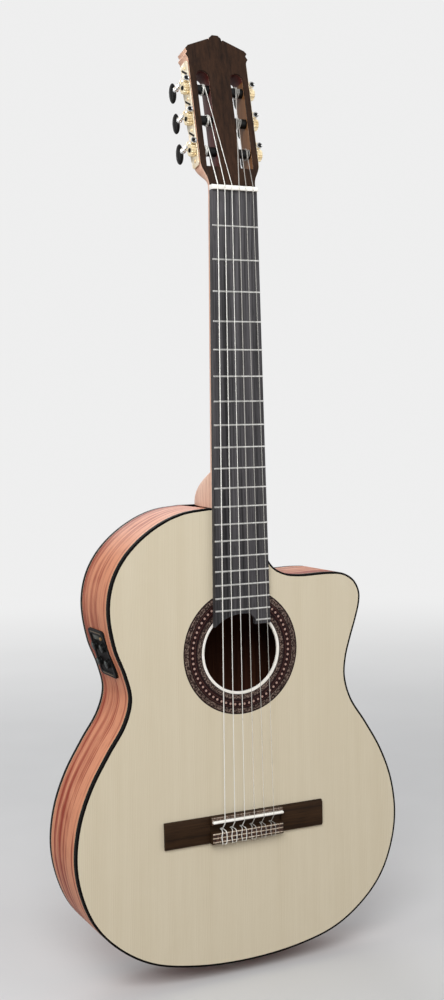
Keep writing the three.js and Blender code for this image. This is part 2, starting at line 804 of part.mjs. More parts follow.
function headOutline() {
  const ears = earShares.map(([x, s]) => new THREE.Vector2(x * headHalf, s * headLength));
  const crown = crownShares.map(([x, s]) => new THREE.Vector2(x * headHalf, s * headLength));
  const half = throatCurve.getPoints(outlineSteps).concat(ears, crown);
  const other = half.map((point) => new THREE.Vector2(-point.x, point.y)).reverse();
  return half.concat(other);
}

function slotOutline(side) {
  const middle = (slotInner + slotOuter) / 2;
  const radius = (slotOuter - slotInner) / 2;
  const end = Array.from({ length: slotEndSteps + 1 }, (_, k) => {
    const angle = (Math.PI * k) / slotEndSteps;
    return [middle + radius * Math.cos(angle), slotEnd - radius + radius * Math.sin(angle)];
  });
  const corners = [...end, [slotInner, slotStart], [slotOuter, slotStart]];
  return corners.map(([x, s]) => new THREE.Vector2(side * x, s));
}
const sides = [-1, 1];
const slots = sides.map(slotOutline);
const rollerPlaces = Array.from({ length: machineCount }, (_, i) => firstRoller + i * rollerPitch);
const boreInner = slotInner - rollerSeat - play;
const rollerBores = sides.flatMap((side) => rollerPlaces.map((s) => (
  rodX(boreInner, headHalf + overrun, rollerRadius + play, roundSides)
    .scale(side, 1, 1).translate(0, rollerDepth, s)
)));

// The throat's back: round like the neck where it starts, then square like the head
function throatSection(share) {
  const { x, y } = throatCurve.getPoint(share);
  const top = faceRise / Math.cos(headTilt);
  const depthAtNut = neckDepthAtNut / Math.cos(headTilt);
  const depth = depthAtNut + (headThickness + seam - top - depthAtNut) * share ** 2;
  const width = x + seam * share;
  const place = y + seam * share;
  const back = roundSection(heelRoundness + throatSquareness * share ** 2);
  return [
    new THREE.Vector3(-width, -overrun, place),
    ...back.map(({ spread, rise }) => new THREE.Vector3(-width * spread, top + depth * rise, place)),
    new THREE.Vector3(width, -overrun, place),
  ];
}
const throatRings = Array.from({ length: throatSteps + 1 }, (_, k) => throatSection(k / throatSteps));
const throatStart = throatSection(0).map(({ x, y }) => new THREE.Vector3(x, y, -overrun));
const throat = skin([throatStart, ...throatRings], false);
const throatSpare = cut(
  block([-2 * headHalf, 2 * headHalf], [-overrun / 2, deep], [-overrun / 2, headThroat]),
  throat,
);
const headCore = pierced(headOutline(), coreFront, headThickness, slots);
add(head, 'head_core', cut(headCore, ...rollerBores, throatSpare), mahogany);
add(head, 'head_face', pierced(headOutline(), 0, faceThickness, slots), rosewood);

// The wound end of a string: tangent to its roller, round it, then square into the roller's hole
function coil(string) {
  const centre = new THREE.Vector2(rollerPlaces[string.roller], rollerDepth);
  const exit = new THREE.Vector3(string.nutX, string.nutY, nutThickness + seam);
  const local = exit.clone().applyMatrix4(head.matrix.clone().invert());
  const from = new THREE.Vector2(local.z, local.y).sub(centre);
  const radius = rollerRadius + play + string.radius;
  const start = from.angle() - 2 * Math.PI + Math.acos(radius / from.length());
  const pitch = string.diameter + coilGap;
  const coilStart = slotInner + (slotOuter - slotInner) * string.coilShare;
  const steps = Math.round(coilSteps * coilTurns);
  const liftFrom = steps - coilSteps / tailSteps;
  const at = (x, distance, angle) => new THREE.Vector3(
    x, centre.y + distance * Math.sin(angle), centre.x + distance * Math.cos(angle),
  );
  const turns = Array.from({ length: steps + 1 }, (_, k) => {
    const x = string.side * (coilStart + (pitch * k) / coilSteps);
    const lift = tailLift * THREE.MathUtils.smoothstep(k, liftFrom, steps);
    return at(x, radius + lift, start + (2 * Math.PI * k) / coilSteps);
  });
  const lastX = turns[steps].x;
  const lastAngle = start + (2 * Math.PI * steps) / coilSteps;
  const outer = radius + tailLift;
  const lean = Math.PI / coilSteps + string.radius / radius;
  const bend = new THREE.QuadraticBezierCurve3(
    turns[steps],
    at(lastX, outer / Math.cos(lean), lastAngle + lean),
    at(lastX, rollerRadius + play + string.diameter, lastAngle + lean),
  );
  const tail = bend.getPoints(tailSteps).slice(1);
  tail.push(at(lastX, rollerRadius + play, lastAngle + lean));
  return { exit, points: [...turns, ...tail], holeX: lastX, holeAngle: lastAngle + lean };
}

// The tied end: through the block, over it, under its own string and back over the block
const ridgeBack = bridgeTop - saddleRidgeLength;
const tieFront = bridgeTail + tieBlockLength;
const saddleBack = saddleZ - saddleThickness / 2;

function tieRoute({ radius, saddleX, saddleY }) {
  const aside = tieSpread;
  const clear = tieLift + 2 * radius;
  const over = -(tieBlockHeight + tieTrimThickness + tieLift + radius);
  const under = -(valleyHeight + tieLift + radius);
  const half = (over + under) / 2;
  const low = -stringHoleRise;
  const behind = bridgeTail - clear;
  const ahead = tieFront + clear;
  const middle = (tieFront + bridgeTail) / 2;
  const knot = [
    [0, low, bridgeTail], [aside / 2, low - radius, behind], [aside, half, behind - tieLift],
    [aside, over, bridgeTail], [aside, over, middle], [aside, over, tieFront],
    [aside, half, ahead], [aside, under - radius, ahead + tieLift], [0, under, ahead + radius],
    [-aside, under - radius, ahead + tieLift], [-aside, half, ahead], [-aside, over, tieFront],
    [-aside, over, middle], [-aside, over, bridgeTail], [-aside, half, behind - tieLift],
    [-aside, low, behind - tieLift],
  ];
  const curve = new THREE.CatmullRomCurve3(
    knot.map(([x, y, z]) => new THREE.Vector3(saddleX + x, y, z)), false, 'centripetal',
  );
  const lead = [
    new THREE.Vector3(saddleX, saddleY, saddleBack - seam),
    new THREE.Vector3(saddleX, low, tieFront + radius),
  ];
  return lead.concat(curve.getPoints(tieSteps)).reverse();
}

let leastGap = Infinity;
strings.forEach((string) => {
  const wrap = coil(string);
  string.holeX = Math.abs(wrap.holeX);
  string.holeAngle = wrap.holeAngle;
  const far = coilSteps / 2;
  wrap.points.forEach((point, i) => wrap.points.slice(i + far).forEach((other) => {
    leastGap = Math.min(leastGap, point.distanceTo(other) - string.diameter);
  }));
  const route = [
    ...tieRoute(string),
    new THREE.Vector3(string.saddleX, string.saddleY, saddleZ + saddleThickness / 2),
    new THREE.Vector3(string.nutX, string.nutY, 0),
    wrap.exit,
    ...wrap.points.map((point) => point.applyMatrix4(head.matrix)),
  ];
  add(pieces, string.name, tube(route, string.radius, stringSides), string.side < 0 ? wound : nylon);
});
if (leastGap < minimumTurnGap) throw new Error('the turns of a string lie too close');
console.log(`least gap between the turns of a string: ${leastGap.toFixed(2)} mm`);

// Tuning machines: on each side a plate with bearing posts, three rollers and three worm shafts
function toothed(radius, depth, teeth, centreA, centreB) {
  const toothShares = [[0, 1], [0.5, 0]];
  return Array.from({ length: teeth }, (_, i) => toothShares.map(([turn, down]) => {
    const angle = (2 * Math.PI * (i + turn)) / teeth;
    const reach = radius - depth * down;
    return [centreA + reach * Math.cos(angle), centreB + reach * Math.sin(angle)];
  })).flat();
}

function roller(string) {
  const inner = slotInner - rollerSeat;
  const shoulder = headHalf - seam;
  const gearOuter = gearInner + gearThickness;
  const turned = turnedX([
    [inner, 0], [inner, rollerRadius], [shoulder, rollerRadius], [shoulder, axleRadius],
    [gearOuter + gearScrewHeight, axleRadius], [gearOuter + gearScrewHeight, 0],
  ], roundSides);
  const gear = alongX(toothed(gearRadius, toothDepth, gearTeeth, 0, 0), gearInner, gearOuter);
  const hole = rodZ(-rollerRadius - overrun, rollerRadius + overrun, string.radius + play, smallSides)
    .rotateX(-string.holeAngle).translate(string.holeX, 0, 0);
  return cut(joined(turned, gear), hole);
}

function wormShaft() {
  const wormHalf = (wormThreads * wormPitch) / 2;
  const shares = [[0, wormRoot], [0.3, wormRadius], [0.7, wormRadius]];
  const worm = Array.from({ length: wormThreads }, (_, i) => (
    shares.map(([share, radius]) => [rollerDepth - wormHalf + (i + share) * wormPitch, radius])
  )).flat();
  const tip = rollerDepth - wormHalf - postGap - postThickness;
  const collar = plateBack + collarThickness;
  const ferrule = buttonStart - 2 * collarThickness;
  const capBack = tip - play;
  const shaft = turnedY([
    [capBack - capThickness, 0], [capBack - capThickness, capRadius], [capBack, capRadius],
    [capBack, shaftRadius], [rollerDepth - wormHalf, shaftRadius], ...worm,
    [rollerDepth + wormHalf, shaftRadius], [collar, shaftRadius], [collar, collarRadius],
    [collar + collarThickness, collarRadius], [collar + collarThickness, shaftRadius],
    [ferrule, shaftRadius], [ferrule, collarRadius],
    [buttonStart + collarThickness, wormRadius], [buttonStart + collarThickness, 0],
  ], smallSides);
  const bulge = new THREE.SphereGeometry(1, buttonSides, buttonSides / 2);
  const button = bulge.scale(buttonHalf * buttonFlat, buttonLength / 2, buttonHalf)
    .translate(0, buttonStart + buttonLength / 2, 0);
  return joined(shaft, button);
}

function machinePlate() {
  const waist = plateBack - plateWaist;
  const bulges = rollerPlaces.flatMap((s) => [
    [s - rollerPitch / 2, waist], [s - rollerPitch / 4, plateBack], [s + rollerPitch / 4, plateBack],
  ]);
  const corner = plateWaist;
  const edge = [
    [plateStart + corner, plateFront], [plateEnd - corner, plateFront],
    [plateEnd, plateFront + corner], [plateEnd, waist - corner], [plateEnd - corner, waist],
    ...bulges.filter(([s]) => s > plateStart + corner && s < plateEnd - corner).reverse(),
    [plateStart + corner, waist], [plateStart, waist - corner], [plateStart, plateFront + corner],
  ];
  const sheet = alongX(edge, plateInner, plateOuter);
  const axleHoles = rollerPlaces.map((s) => (
    rodX(plateInner - overrun, plateOuter + overrun, axleRadius + play, roundSides)
      .translate(0, rollerDepth, s)
  ));
  const wormHalf = (wormThreads * wormPitch) / 2;
  const fronts = [rollerDepth - wormHalf - postGap - postThickness, rollerDepth + wormHalf + postGap];
  const posts = rollerPlaces.flatMap((s) => fronts.map((front) => {
    const half = postWidth / 2;
    const dome = Array.from({ length: postSteps + 1 }, (_, k) => {
      const angle = right - (Math.PI * k) / postSteps;
      return new THREE.Vector2(gearMiddle + half * Math.cos(angle), half * Math.sin(angle));
    });
    const root = plateOuter - plateThickness / 2;
    const edges = [...dome, new THREE.Vector2(root, -half), new THREE.Vector2(root, half)];
    const eye = circle(gearMiddle, 0, shaftRadius + play, smallSides);
    return pierced(edges, front, front + postThickness, [eye]).translate(0, 0, s + wormRise);
  }));
  const screwPlaces = [plateStart + postWidth, ...rollerPlaces.map((s) => s + rollerPitch / 2 + postWidth)];
  const screws = screwPlaces.filter((s) => s < plateEnd - plateScrewRadius).map((s) => (
    rodX(plateOuter - plateThickness / 2, plateOuter + plateScrewHeight, plateScrewRadius, smallSides)
      .translate(0, (plateFront + waist) / 2, s)
  ));
  return cut(joined(sheet, ...posts, ...screws), ...axleHoles);
}

strings.forEach((string) => {
  const number = string.name.slice(-1);
  const place = rollerPlaces[string.roller];
  const rollerMesh = add(head, `roller_${number}`, roller(string).scale(string.side, 1, 1), steel);
  rollerMesh.position.set(0, rollerDepth, place);
  const shaftMesh = add(head, `tuner_${number}`, wormShaft(), buttonBlack);
  shaftMesh.position.set(string.side * gearMiddle, 0, place + wormRise);
});
add(head, 'machine_plate_bass', machinePlate().scale(-1, 1, 1), brass);
add(head, 'machine_plate_treble', machinePlate(), brass);

// Bridge: a ridge that holds the saddle, a valley, a block that the strings tie to, and two wings
const chamfer = wingHeight - wingEdge;
const wing = [
  [bridgeTop, 0], [bridgeTop, -wingEdge], [bridgeTop - 2 * chamfer, -wingHeight],
  [bridgeTail + 2 * chamfer, -wingHeight], [bridgeTail, -wingEdge], [bridgeTail, 0],
];
const middlePart = [
  [bridgeTop, 0], [bridgeTop, chamfer - saddleRidgeHeight], [bridgeTop - chamfer, -saddleRidgeHeight],
  [ridgeBack + chamfer, -saddleRidgeHeight], [ridgeBack, -valleyHeight], [tieFront, -valleyHeight],
  [tieFront, -tieBlockHeight], [bridgeTail, -tieBlockHeight], [bridgeTail, 0],
];
const slotFloor = saddleSlotDepth - saddleRidgeHeight;
const saddleSlot = block(
  [-saddleHalf - seam, saddleHalf + seam], [-saddleRidgeHeight - overrun, slotFloor],
  [saddleBack - seam, saddleZ + saddleThickness / 2 + seam],
);
const stringHoles = strings.map(({ saddleX }) => (
  rodZ(bridgeTail - overrun, tieFront + overrun, stringHoleRadius, smallSides)
    .translate(saddleX, -stringHoleRise, 0)
));
const wings = [[-bridgeHalf, -tieHalf], [tieHalf, bridgeHalf]].map(([from, to]) => alongX(wing, from, to));
const bridgeBody = joined(alongX(middlePart, -tieHalf, tieHalf), ...wings);
add(pieces, 'bridge', cut(bridgeBody, saddleSlot, ...stringHoles), rosewood);
const pickupTop = slotFloor - pickupThickness;
const saddleFaces = [saddleBack, saddleZ + saddleThickness / 2];
add(pieces, 'saddle_pickup', block([-saddleHalf, saddleHalf], [pickupTop, slotFloor], saddleFaces), brass);
const crownDrop = saddleThickness / 4;
add(pieces, 'saddle', alongX([
  [saddleFaces[0], pickupTop], [saddleFaces[0], crownDrop - saddleTop],
  [saddleFaces[0] + crownDrop, -saddleTop], [saddleFaces[1] - crownDrop, -saddleTop],
  [saddleFaces[1], crownDrop - saddleTop], [saddleFaces[1], pickupTop],
], -saddleHalf, saddleHalf), bone);
add(pieces, 'tie_block_trim', block(
  [tieTrimInset - tieHalf, tieHalf - tieTrimInset],
  [-tieBlockHeight - tieTrimThickness, -tieBlockHeight],
  [bridgeTail + tieTrimInset, tieFront - tieTrimInset],
), bone);

// Control panel: a bezel over the rim's opening, the panel in it, and what turns or is pushed
const grownBody = plate(inset(-seam), -overrun, bodyDepth + overrun);
const flange = panelPlate(bezelLength, bezelWidth, cornerRadius, -bezelProud, bezelProud);
const skirt = panelPlate(skirtLength, skirtWidth, skirtRadius, -bezelProud, skirtDepth);
const openingLength = skirtLength - 2 * bezelWall;
const openingWidth = skirtWidth - 2 * bezelWall;
const openingRadius = skirtRadius - bezelWall / 2;
const opening = panelPlate(
  openingLength, openingWidth, openingRadius, -bezelProud - overrun, skirtDepth + overrun,
);
const seatedFlange = outOfRim(cut(intoRim(flange), grownBody));
add(panel, 'panel_bezel', cut(joined(seatedFlange, skirt), opening), plastic);

const onPanel = ([along, across]) => [along * bezelLength, across * bezelWidth];
const knobPlaces = Object.entries(knobShares).map(([name, shares]) => [name, onPanel(shares)]);
const pushPlace = onPanel(pushShares);
const windowPlace = onPanel(windowShares);
const windowWidth = windowSpan * bezelWidth;
const faceX = panelRecess - bezelProud;
const panelSheet = panelPlate(
  openingLength - 2 * seam, openingWidth - 2 * seam, openingRadius - seam,
  faceX, faceX + panelThickness,
);
const boxHalf = [openingWidth / 2 - controlBoxMargin, openingLength / 2 - controlBoxMargin];
const controlBox = block(
  [faceX + panelThickness / 2, faceX + controlBoxDepth],
  [-boxHalf[0], boxHalf[0]], [-boxHalf[1], boxHalf[1]],
);
const knobBores = knobPlaces.map(([, [z, y]]) => (
  rodX(faceX - overrun, faceX + knobStemLength + play, knobStemRadius + play, smallSides)
    .translate(0, y, z)
));
const pushBore = rodX(
  faceX - overrun, faceX + pushStem + pushTravel + play, pushRadius + play, smallSides,
).translate(0, pushPlace[1], pushPlace[0]);
const windowPocket = block(
  [faceX - overrun, faceX + windowThickness + seam],
  [windowPlace[1] - windowWidth / 2 - seam, windowPlace[1] + windowWidth / 2 + seam],
  [windowPlace[0] - windowLength / 2 - seam, windowPlace[0] + windowLength / 2 + seam],
);
const openPanel = cut(joined(panelSheet, controlBox), ...knobBores, pushBore, windowPocket);
add(panel, 'control_panel', openPanel, plastic);
add(panel, 'display_window', block(
  [faceX, faceX + windowThickness],
  [windowPlace[1] - windowWidth / 2, windowPlace[1] + windowWidth / 2],
  [windowPlace[0] - windowLength / 2, windowPlace[0] + windowLength / 2],
), glass);
knobPlaces.forEach(([name, [z, y]]) => {
  const ribbed = toothed(knobRadius, knobRibDepth, knobRibs, 0, 0);
  const grip = alongX(ribbed, faceX - play - knobHeight, faceX - play);
  const stem = rodX(faceX - play - knobHeight / 2, faceX + knobStemLength, knobStemRadius, smallSides);
  add(panel, name, joined(grip, stem), plastic).position.set(0, y, z);
});
const pushRod = rodX(faceX - pushProud, faceX + pushStem, pushRadius, smallSides);
add(panel, 'push_button', pushRod, silver).position.set(0, pushPlace[1], pushPlace[0]);

// Battery and the clip that holds it on the back plate
const clipFloor = cavityBack - clipWall;
const batterySpan = [batteryAcross - batteryWidth / 2, batteryAcross + batteryWidth / 2];
const batteryEnds = [-batteryLength / 2, batteryLength / 2].map((half) => bodyTop - batteryDrop + half);
const batteryBody = block(
  batterySpan, [clipFloor - seam - batteryThickness, clipFloor - seam], batteryEnds,
);
const terminals = sides.map((side) => rodZ(
  batteryEnds[1] - overrun, batteryEnds[1] + batteryTerminalHeight, batteryTerminalRadius, smallSides,
).translate(
  batteryAcross + (side * batteryWidth) / 4, clipFloor - seam - batteryThickness / 2, 0,
));
add(pieces, 'battery', joined(batteryBody, ...terminals), silver);
const clipOuter = batterySpan.map((x, i) => x + sides[i] * (seam + clipWall));
const clipInner = batterySpan.map((x, i) => x + sides[i] * seam);
const clipFront = clipFloor - batteryThickness * clipShare;
add(pieces, 'battery_clip', alongZ([
  [clipOuter[0], cavityBack], [clipOuter[0], clipFront], [clipInner[0], clipFront],
  [clipInner[0], clipFloor], [clipInner[1], clipFloor], [clipInner[1], clipFront],
  [clipOuter[1], clipFront], [clipOuter[1], cavityBack],
], ...batteryEnds), steel);

// End pin: a strap button outside the rim, a jack barrel through the tail block, a nut inside
const pinWaistEnd = pinEndThickness - pinLength;
const blockInside = boardInset + tailBlockLength + seam;
const endPin = turnedZ([
  [-pinLength, jackBore], [-pinLength, pinEndRadius], [pinWaistEnd, pinEndRadius],
  [pinWaistEnd + pinEndThickness / 2, pinWaistRadius], [-pinFlangeThickness - seam, pinWaistRadius],
  [-pinFlangeThickness, pinFlangeRadius], [-seam, pinFlangeRadius], [-seam, jackBarrelRadius],
  [blockInside, jackBarrelRadius], [blockInside, jackNutRadius],
  [blockInside + jackNutThickness, jackNutRadius], [blockInside + jackNutThickness, jackBarrelRadius],
  [jackBarrelLength, jackBarrelRadius], [jackBarrelLength, jackBore], [-pinLength, jackBore],
], roundSides);
add(pieces, 'end_pin_jack', endPin.translate(0, pinMiddle, bodyTail), silver);

export default pieces;
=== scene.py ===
"""Acoustic-electric classical guitar in its finish, built round its fitted solids.
Shapes are worked in millimetres and scaled to metres when a piece is finished."""
from itertools import accumulate
from math import acos, atan2, copysign, cos, hypot, pi, radians, sin, tan

import bmesh
import bpy
from mathutils import Matrix, Vector


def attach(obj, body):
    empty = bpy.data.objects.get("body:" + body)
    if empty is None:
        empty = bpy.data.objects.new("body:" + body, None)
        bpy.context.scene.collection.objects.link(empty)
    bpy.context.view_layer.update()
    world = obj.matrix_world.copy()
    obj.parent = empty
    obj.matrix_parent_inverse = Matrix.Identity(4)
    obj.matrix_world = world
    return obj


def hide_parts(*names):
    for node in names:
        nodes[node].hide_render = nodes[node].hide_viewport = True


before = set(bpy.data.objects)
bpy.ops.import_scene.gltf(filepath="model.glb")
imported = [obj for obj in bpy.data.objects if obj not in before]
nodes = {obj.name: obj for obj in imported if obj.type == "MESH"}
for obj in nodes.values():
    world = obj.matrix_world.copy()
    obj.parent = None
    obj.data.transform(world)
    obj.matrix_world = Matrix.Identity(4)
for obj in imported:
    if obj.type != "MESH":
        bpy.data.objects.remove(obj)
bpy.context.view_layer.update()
scene = bpy.context.scene
MM = 0.001
TURN = 2 * pi
BODY = "guitar"

# Camera and floor, in metres
CAMERA_PLACE = (-0.6190, -1.2445, -0.2438)
CAMERA_RIGHT = (0.90001, -0.43537, -0.02062)
CAMERA_UP = (0.04191, 0.03935, 0.99835)
CAMERA_LENS = 47.97
FLOOR_HEIGHT = -0.8242

# Fingerboard
SCALE_LENGTH = 650
FRET_COUNT = 19
BOARD_HALF_AT_NUT, BOARD_HALF_AT_LAST_FRET = 26, 32.1
BOARD_THICKNESS = 6
FRET_WIDTH, FRET_HEIGHT = 2.2, 1
NUT_THICKNESS = 5
ACTION_AT_NUT = 0.9
BOARD_END_RADIUS = 48
EXTENSION_LENGTH, EXTENSION_EDGE, EXTENSION_SLOPE = 16.5, 14.5, 5.5
FRET_ROOT, FRET_INSET = 0.4, 0.2

# Body
BODY_LENGTH = 483.7
LOWER_HALF = 189
BODY_DEPTH = 82
SOUNDBOARD_THICKNESS, BACK_THICKNESS, RIM_THICKNESS = 2.6, 3, 2.4
BINDING_WIDTH, BINDING_HEIGHT = 2.2, 6
LIGHT_LINE_HEIGHT = 0.45
HOLE_RADIUS, RING_OUTER, ROSETTE_RADIUS = 42.5, 45.5, 66.5
ROSETTE_THICKNESS = 0.9
HOLE_SIDES = 128
HOLE_DROP = 152
BINDING_EASE = 0.4
UPPER_BOUT = [
    (0.18, 0), (0.328, 0.0068), (0.455, 0.0245), (0.593, 0.059), (0.696, 0.101),
    (0.759, 0.149), (0.782, 0.207), (0.751, 0.285), (0.696, 0.342),
]
LOWER_BOUT = [
    (0.668, 0.393), (0.704, 0.444), (0.804, 0.504), (0.905, 0.571), (0.974, 0.643), (1, 0.722),
    (0.974, 0.792), (0.899, 0.862), (0.772, 0.918), (0.582, 0.965), (0.328, 0.9905),
]
CUTAWAY = [
    (0, 0.065), (0, 0.096), (0.018, 0.116), (0.066, 0.137), (0.148, 0.151), (0.261, 0.1565),
    (0.489, 0.156), (0.602, 0.1605), (0.6875, 0.178), (0.7285, 0.204), (0.7285, 0.228),
    (0.7, 0.263), (0.653, 0.308), (0.615, 0.351),
]

# Neck, heel and head
NECK_DEPTH_AT_NUT, NECK_DEPTH_AT_HEEL = 15.5, 18
HEEL_LENGTH = 37
HEEL_REACH = 88
HEEL_CAP = 2
HEEL_TAPER = 0.34
SECTION_STEPS = 40
HEAD_TILT = radians(12.5)
FACE_RISE = 2.5
FACE_THICKNESS, HEAD_THICKNESS = 2, 22
HEAD_LENGTH = 165.5
HEAD_HALF = 33.2
HEAD_THROAT = 27
SLOT_INNER, SLOT_OUTER = 12, 27
SLOT_START, SLOT_END = 19.5, 124.5
EARS = [(1, 0.828), (1.025, 0.843), (1.075, 0.857), (1.008, 0.878), (1.062, 0.897)]
CROWN = [(0.985, 0.914), (0.27, 0.972), (0.213, 0.966), (0.2, 0.982), (0.1, 1)]

# Tuning machines: along the head, into it and out from its middle
ROLLERS = (38.5, 72.5, 106.5)
ROLLER_PITCH = 34
ROLLER_DEPTH = 8
ROLLER_RADIUS = 5
ROLLER_INNER, ROLLER_END = 4, 32.9
GEAR_INNER, GEAR_THICKNESS = 35.2, 5.6
GEAR_RADIUS = 6.2
GEAR_TEETH, TOOTH_DEPTH = 14, 1.0
GEAR_MIDDLE = GEAR_INNER + GEAR_THICKNESS / 2
AXLE_RADIUS = 2.4
WORM_RISE = 8.7
WORM_HALF, WORM_CORE = 3, 1.62
THREAD_RADIUS, THREAD_HALF = 1.75, 0.45
SHAFT_RADIUS, SHAFT_BORE = 1.4, 1.2
PLATE_INNER, PLATE_THICKNESS = 33.5, 1.4
PLATE_OUTER = PLATE_INNER + PLATE_THICKNESS
PLATE_SPAN = (21.5, 136)
PLATE_DEPTHS = (2.5, 20)
PLATE_WAIST = 2.2
PLATE_SCREWS = (27.9, 61.9, 95.9, 129.9)
STROKE_DEPTH, STROKE_HALF, STROKE_HALF_WIDTH = 0.45, 7.4, 1.1
STROKE_SLANT = 37
STROKE_MIDDLE, STROKE_DROP = 11.2, 4.2
SCREW_LINE = 10.15
POST_HALF, POST_BORE, POST_THICKNESS = 3.2, 1.6, 2
POST_STARTS = (ROLLER_DEPTH - 5.6, ROLLER_DEPTH + 3.6)
CAP_BACK = 2.1
CAP_RADIUS = 3.2
BUTTON_START, BUTTON_LENGTH = 31, 14.5
BUTTON_HALF = 11.2
BUTTON_FLAT = 0.3
TOOTH = [(0.0, 0.0), (0.16, 0.05), (0.32, 0.9), (0.5, 1.0), (0.68, 0.9), (0.84, 0.05)]
SIDES = ((-1, "bass"), (1, "treble"))

# Strings, from the sixth to the first: diameter, roller and where its first turn lies
STRINGS = [(1.1, 0, -22), (0.9, 1, -16), (0.76, 2, -17.6), (1.02, 2, 18.2), (0.82, 1, 16.5), (0.72, 0, 22)]
NUT_SPACING, SADDLE_SPACING = 8.1, 11.5
CLEAR = 0.3
COIL_TURNS = 2
COIL_STEPS = 40
COIL_GAP = 0.55
TAIL_LIFT = 1.3

# Bridge
BRIDGE_HALF, BRIDGE_LENGTH = 93, 28.3
WING_HEIGHT, WING_EDGE = 4, 2.6
CHAMFER = WING_HEIGHT - WING_EDGE
TIE_HALF = 42
RIDGE_HEIGHT, RIDGE_LENGTH = 8.2, 9.5
VALLEY_HEIGHT = 2.2
TIE_BLOCK_LENGTH, TIE_BLOCK_HEIGHT = 12.5, 8.6
TIE_TRIM_HEIGHT = 0.9
SADDLE_TOP, SADDLE_THICKNESS = 11.6, 2.6
SADDLE_SETBACK, SADDLE_FROM_TOP = 2.8, 5
STRING_HOLE_RISE = 4.6
TIE_SPREAD = 3.0
TIE_CLEAR = 0.35

# Control panel: sizes along the rim, across it and out of it
PANEL_DROP = 146.5
PANEL_DEPTH_AT = 42
BEZEL_LENGTH, BEZEL_WIDTH, BEZEL_PROUD = 52, 44, 2.6
SKIRT_LENGTH, SKIRT_WIDTH, SKIRT_DEPTH = 45.2, 37.2, 8
OPENING_LENGTH, OPENING_WIDTH = 42, 34
PANEL_GAP = 0.2
BEZEL_LINE_HALF, BEZEL_LINE_OFFSET = 15, 2.2
PANEL_FACE, PANEL_THICKNESS = -1.8, 2.4
CONTROL_BOX_DEPTH, CONTROL_BOX_INSET = 20.2, 2.5
KNOBS = {"knob_volume": (7.8, -11.2), "knob_bass": (7.8, 11.2), "knob_middle": (-9.9, -11.2),
         "knob_treble": (-9.9, 11.2)}
KNOB_RADIUS, KNOB_HEIGHT = 4.7, 3.6
KNOB_RIBS, RIB_DEPTH = 18, 0.45
KNOB_DISH = [(-1, 0), (-1, 5.4), (0.5, 5.2), (0.5, 2.3), (3, 2.3), (3, 0)]
PUSH_PLACE, PUSH_RADIUS = (17.2, -10.5), 1.9
WINDOW_PLACE, WINDOW_HALF = (16.85, 4.4), (2.5, 9.6)

END_PIN_PROFILE = [
    (-14, 3.25), (-14, 6.8), (-13.4, 7.4), (-11, 7.4), (-10, 6.4), (-8, 5.6), (-3.6, 5.6), (-2.9, 7),
    (-2.4, 9.1), (-1.6, 9.5), (-0.1, 9.5), (-0.1, 6), (20.8, 6), (20.8, 8), (23.3, 8), (23.3, 6), (32, 6),
    (32, 3.25),
]


# Derived places
def fret_at(fret):
    return -SCALE_LENGTH * (1 - 2 ** (-fret / 12))


BOARD_SLOPE = (BOARD_HALF_AT_LAST_FRET - BOARD_HALF_AT_NUT) / -fret_at(FRET_COUNT)


def board_half(z):
    return BOARD_HALF_AT_NUT - BOARD_SLOPE * z


def shift(x=0.0, y=0.0, z=0.0):
    return Matrix.Translation((x, y, z))


def roll(degrees, axis):
    return Matrix.Rotation(radians(degrees), 4, axis)


def mirrored(side):
    return Matrix.Diagonal((side, 1, 1, 1))


ALONG_X, ALONG_Y = roll(90, "Y"), roll(-90, "X")
BODY_TOP = fret_at(12) - 1
BODY_TAIL = BODY_TOP - BODY_LENGTH
NECK_SIDE = board_half(BODY_TOP)
HEEL_START = BODY_TOP + HEEL_LENGTH
HOLE_Z = BODY_TOP - HOLE_DROP
AT_HOLE = shift(z=HOLE_Z) @ ALONG_Y
EXTENSION_TAIL = fret_at(FRET_COUNT) - EXTENSION_LENGTH
SADDLE_Z = -SCALE_LENGTH - SADDLE_SETBACK
BRIDGE_TOP = SADDLE_Z + SADDLE_FROM_TOP
BRIDGE_TAIL = BRIDGE_TOP - BRIDGE_LENGTH
TIE_FRONT = BRIDGE_TAIL + TIE_BLOCK_LENGTH
RIDGE_BACK = BRIDGE_TOP - RIDGE_LENGTH
HEAD_Z = NUT_THICKNESS + CLEAR + FACE_RISE * tan(HEAD_TILT)
HEAD = shift(y=-FACE_RISE, z=HEAD_Z) @ Matrix.Rotation(-HEAD_TILT, 4, "X")


# Outline of the body
def curve_through(control, steps):
    """Points of a centripetal curve through the control points."""
    chain = [2 * control[0] - control[1], *control, 2 * control[-1] - control[-2]]
    points = []
    for before, here, there, after in zip(chain, chain[1:], chain[2:], chain[3:]):
        a, b, c = ((q - p).length ** 0.5 for p, q in ((before, here), (here, there), (there, after)))
        leaving = ((here - before) / a - (there - before) / (a + b) + (there - here) / b) * b
        arriving = ((there - here) / b - (after - here) / (b + c) + (after - there) / c) * b
        square = 3 * (there - here) - 2 * leaving - arriving
        cube = 2 * (here - there) + leaving + arriving
        points += [here + leaving * t + square * t * t + cube * t ** 3
                   for t in (k / steps for k in range(steps))]
    return [*points, control[-1].copy()]


def body_outline(steps):
    def place(x, share):
        return Vector((x, BODY_TOP - share * BODY_LENGTH))

    bass = [place(-x * LOWER_HALF, share) for x, share in UPPER_BOUT + LOWER_BOUT]
    cut = [place(NECK_SIDE + x * (LOWER_HALF - NECK_SIDE), share) for x, share in CUTAWAY]
    treble = cut + [place(x * LOWER_HALF, share) for x, share in LOWER_BOUT]
    return [*curve_through([*bass, place(0, 1), *reversed(treble)], steps), place(NECK_SIDE, 0)]


OUTLINE, COARSE = body_outline(8), body_outline(2)
TRAVELLED = list(accumulate(((b - a).length * MM for a, b in zip(OUTLINE, OUTLINE[1:])), initial=0.0))


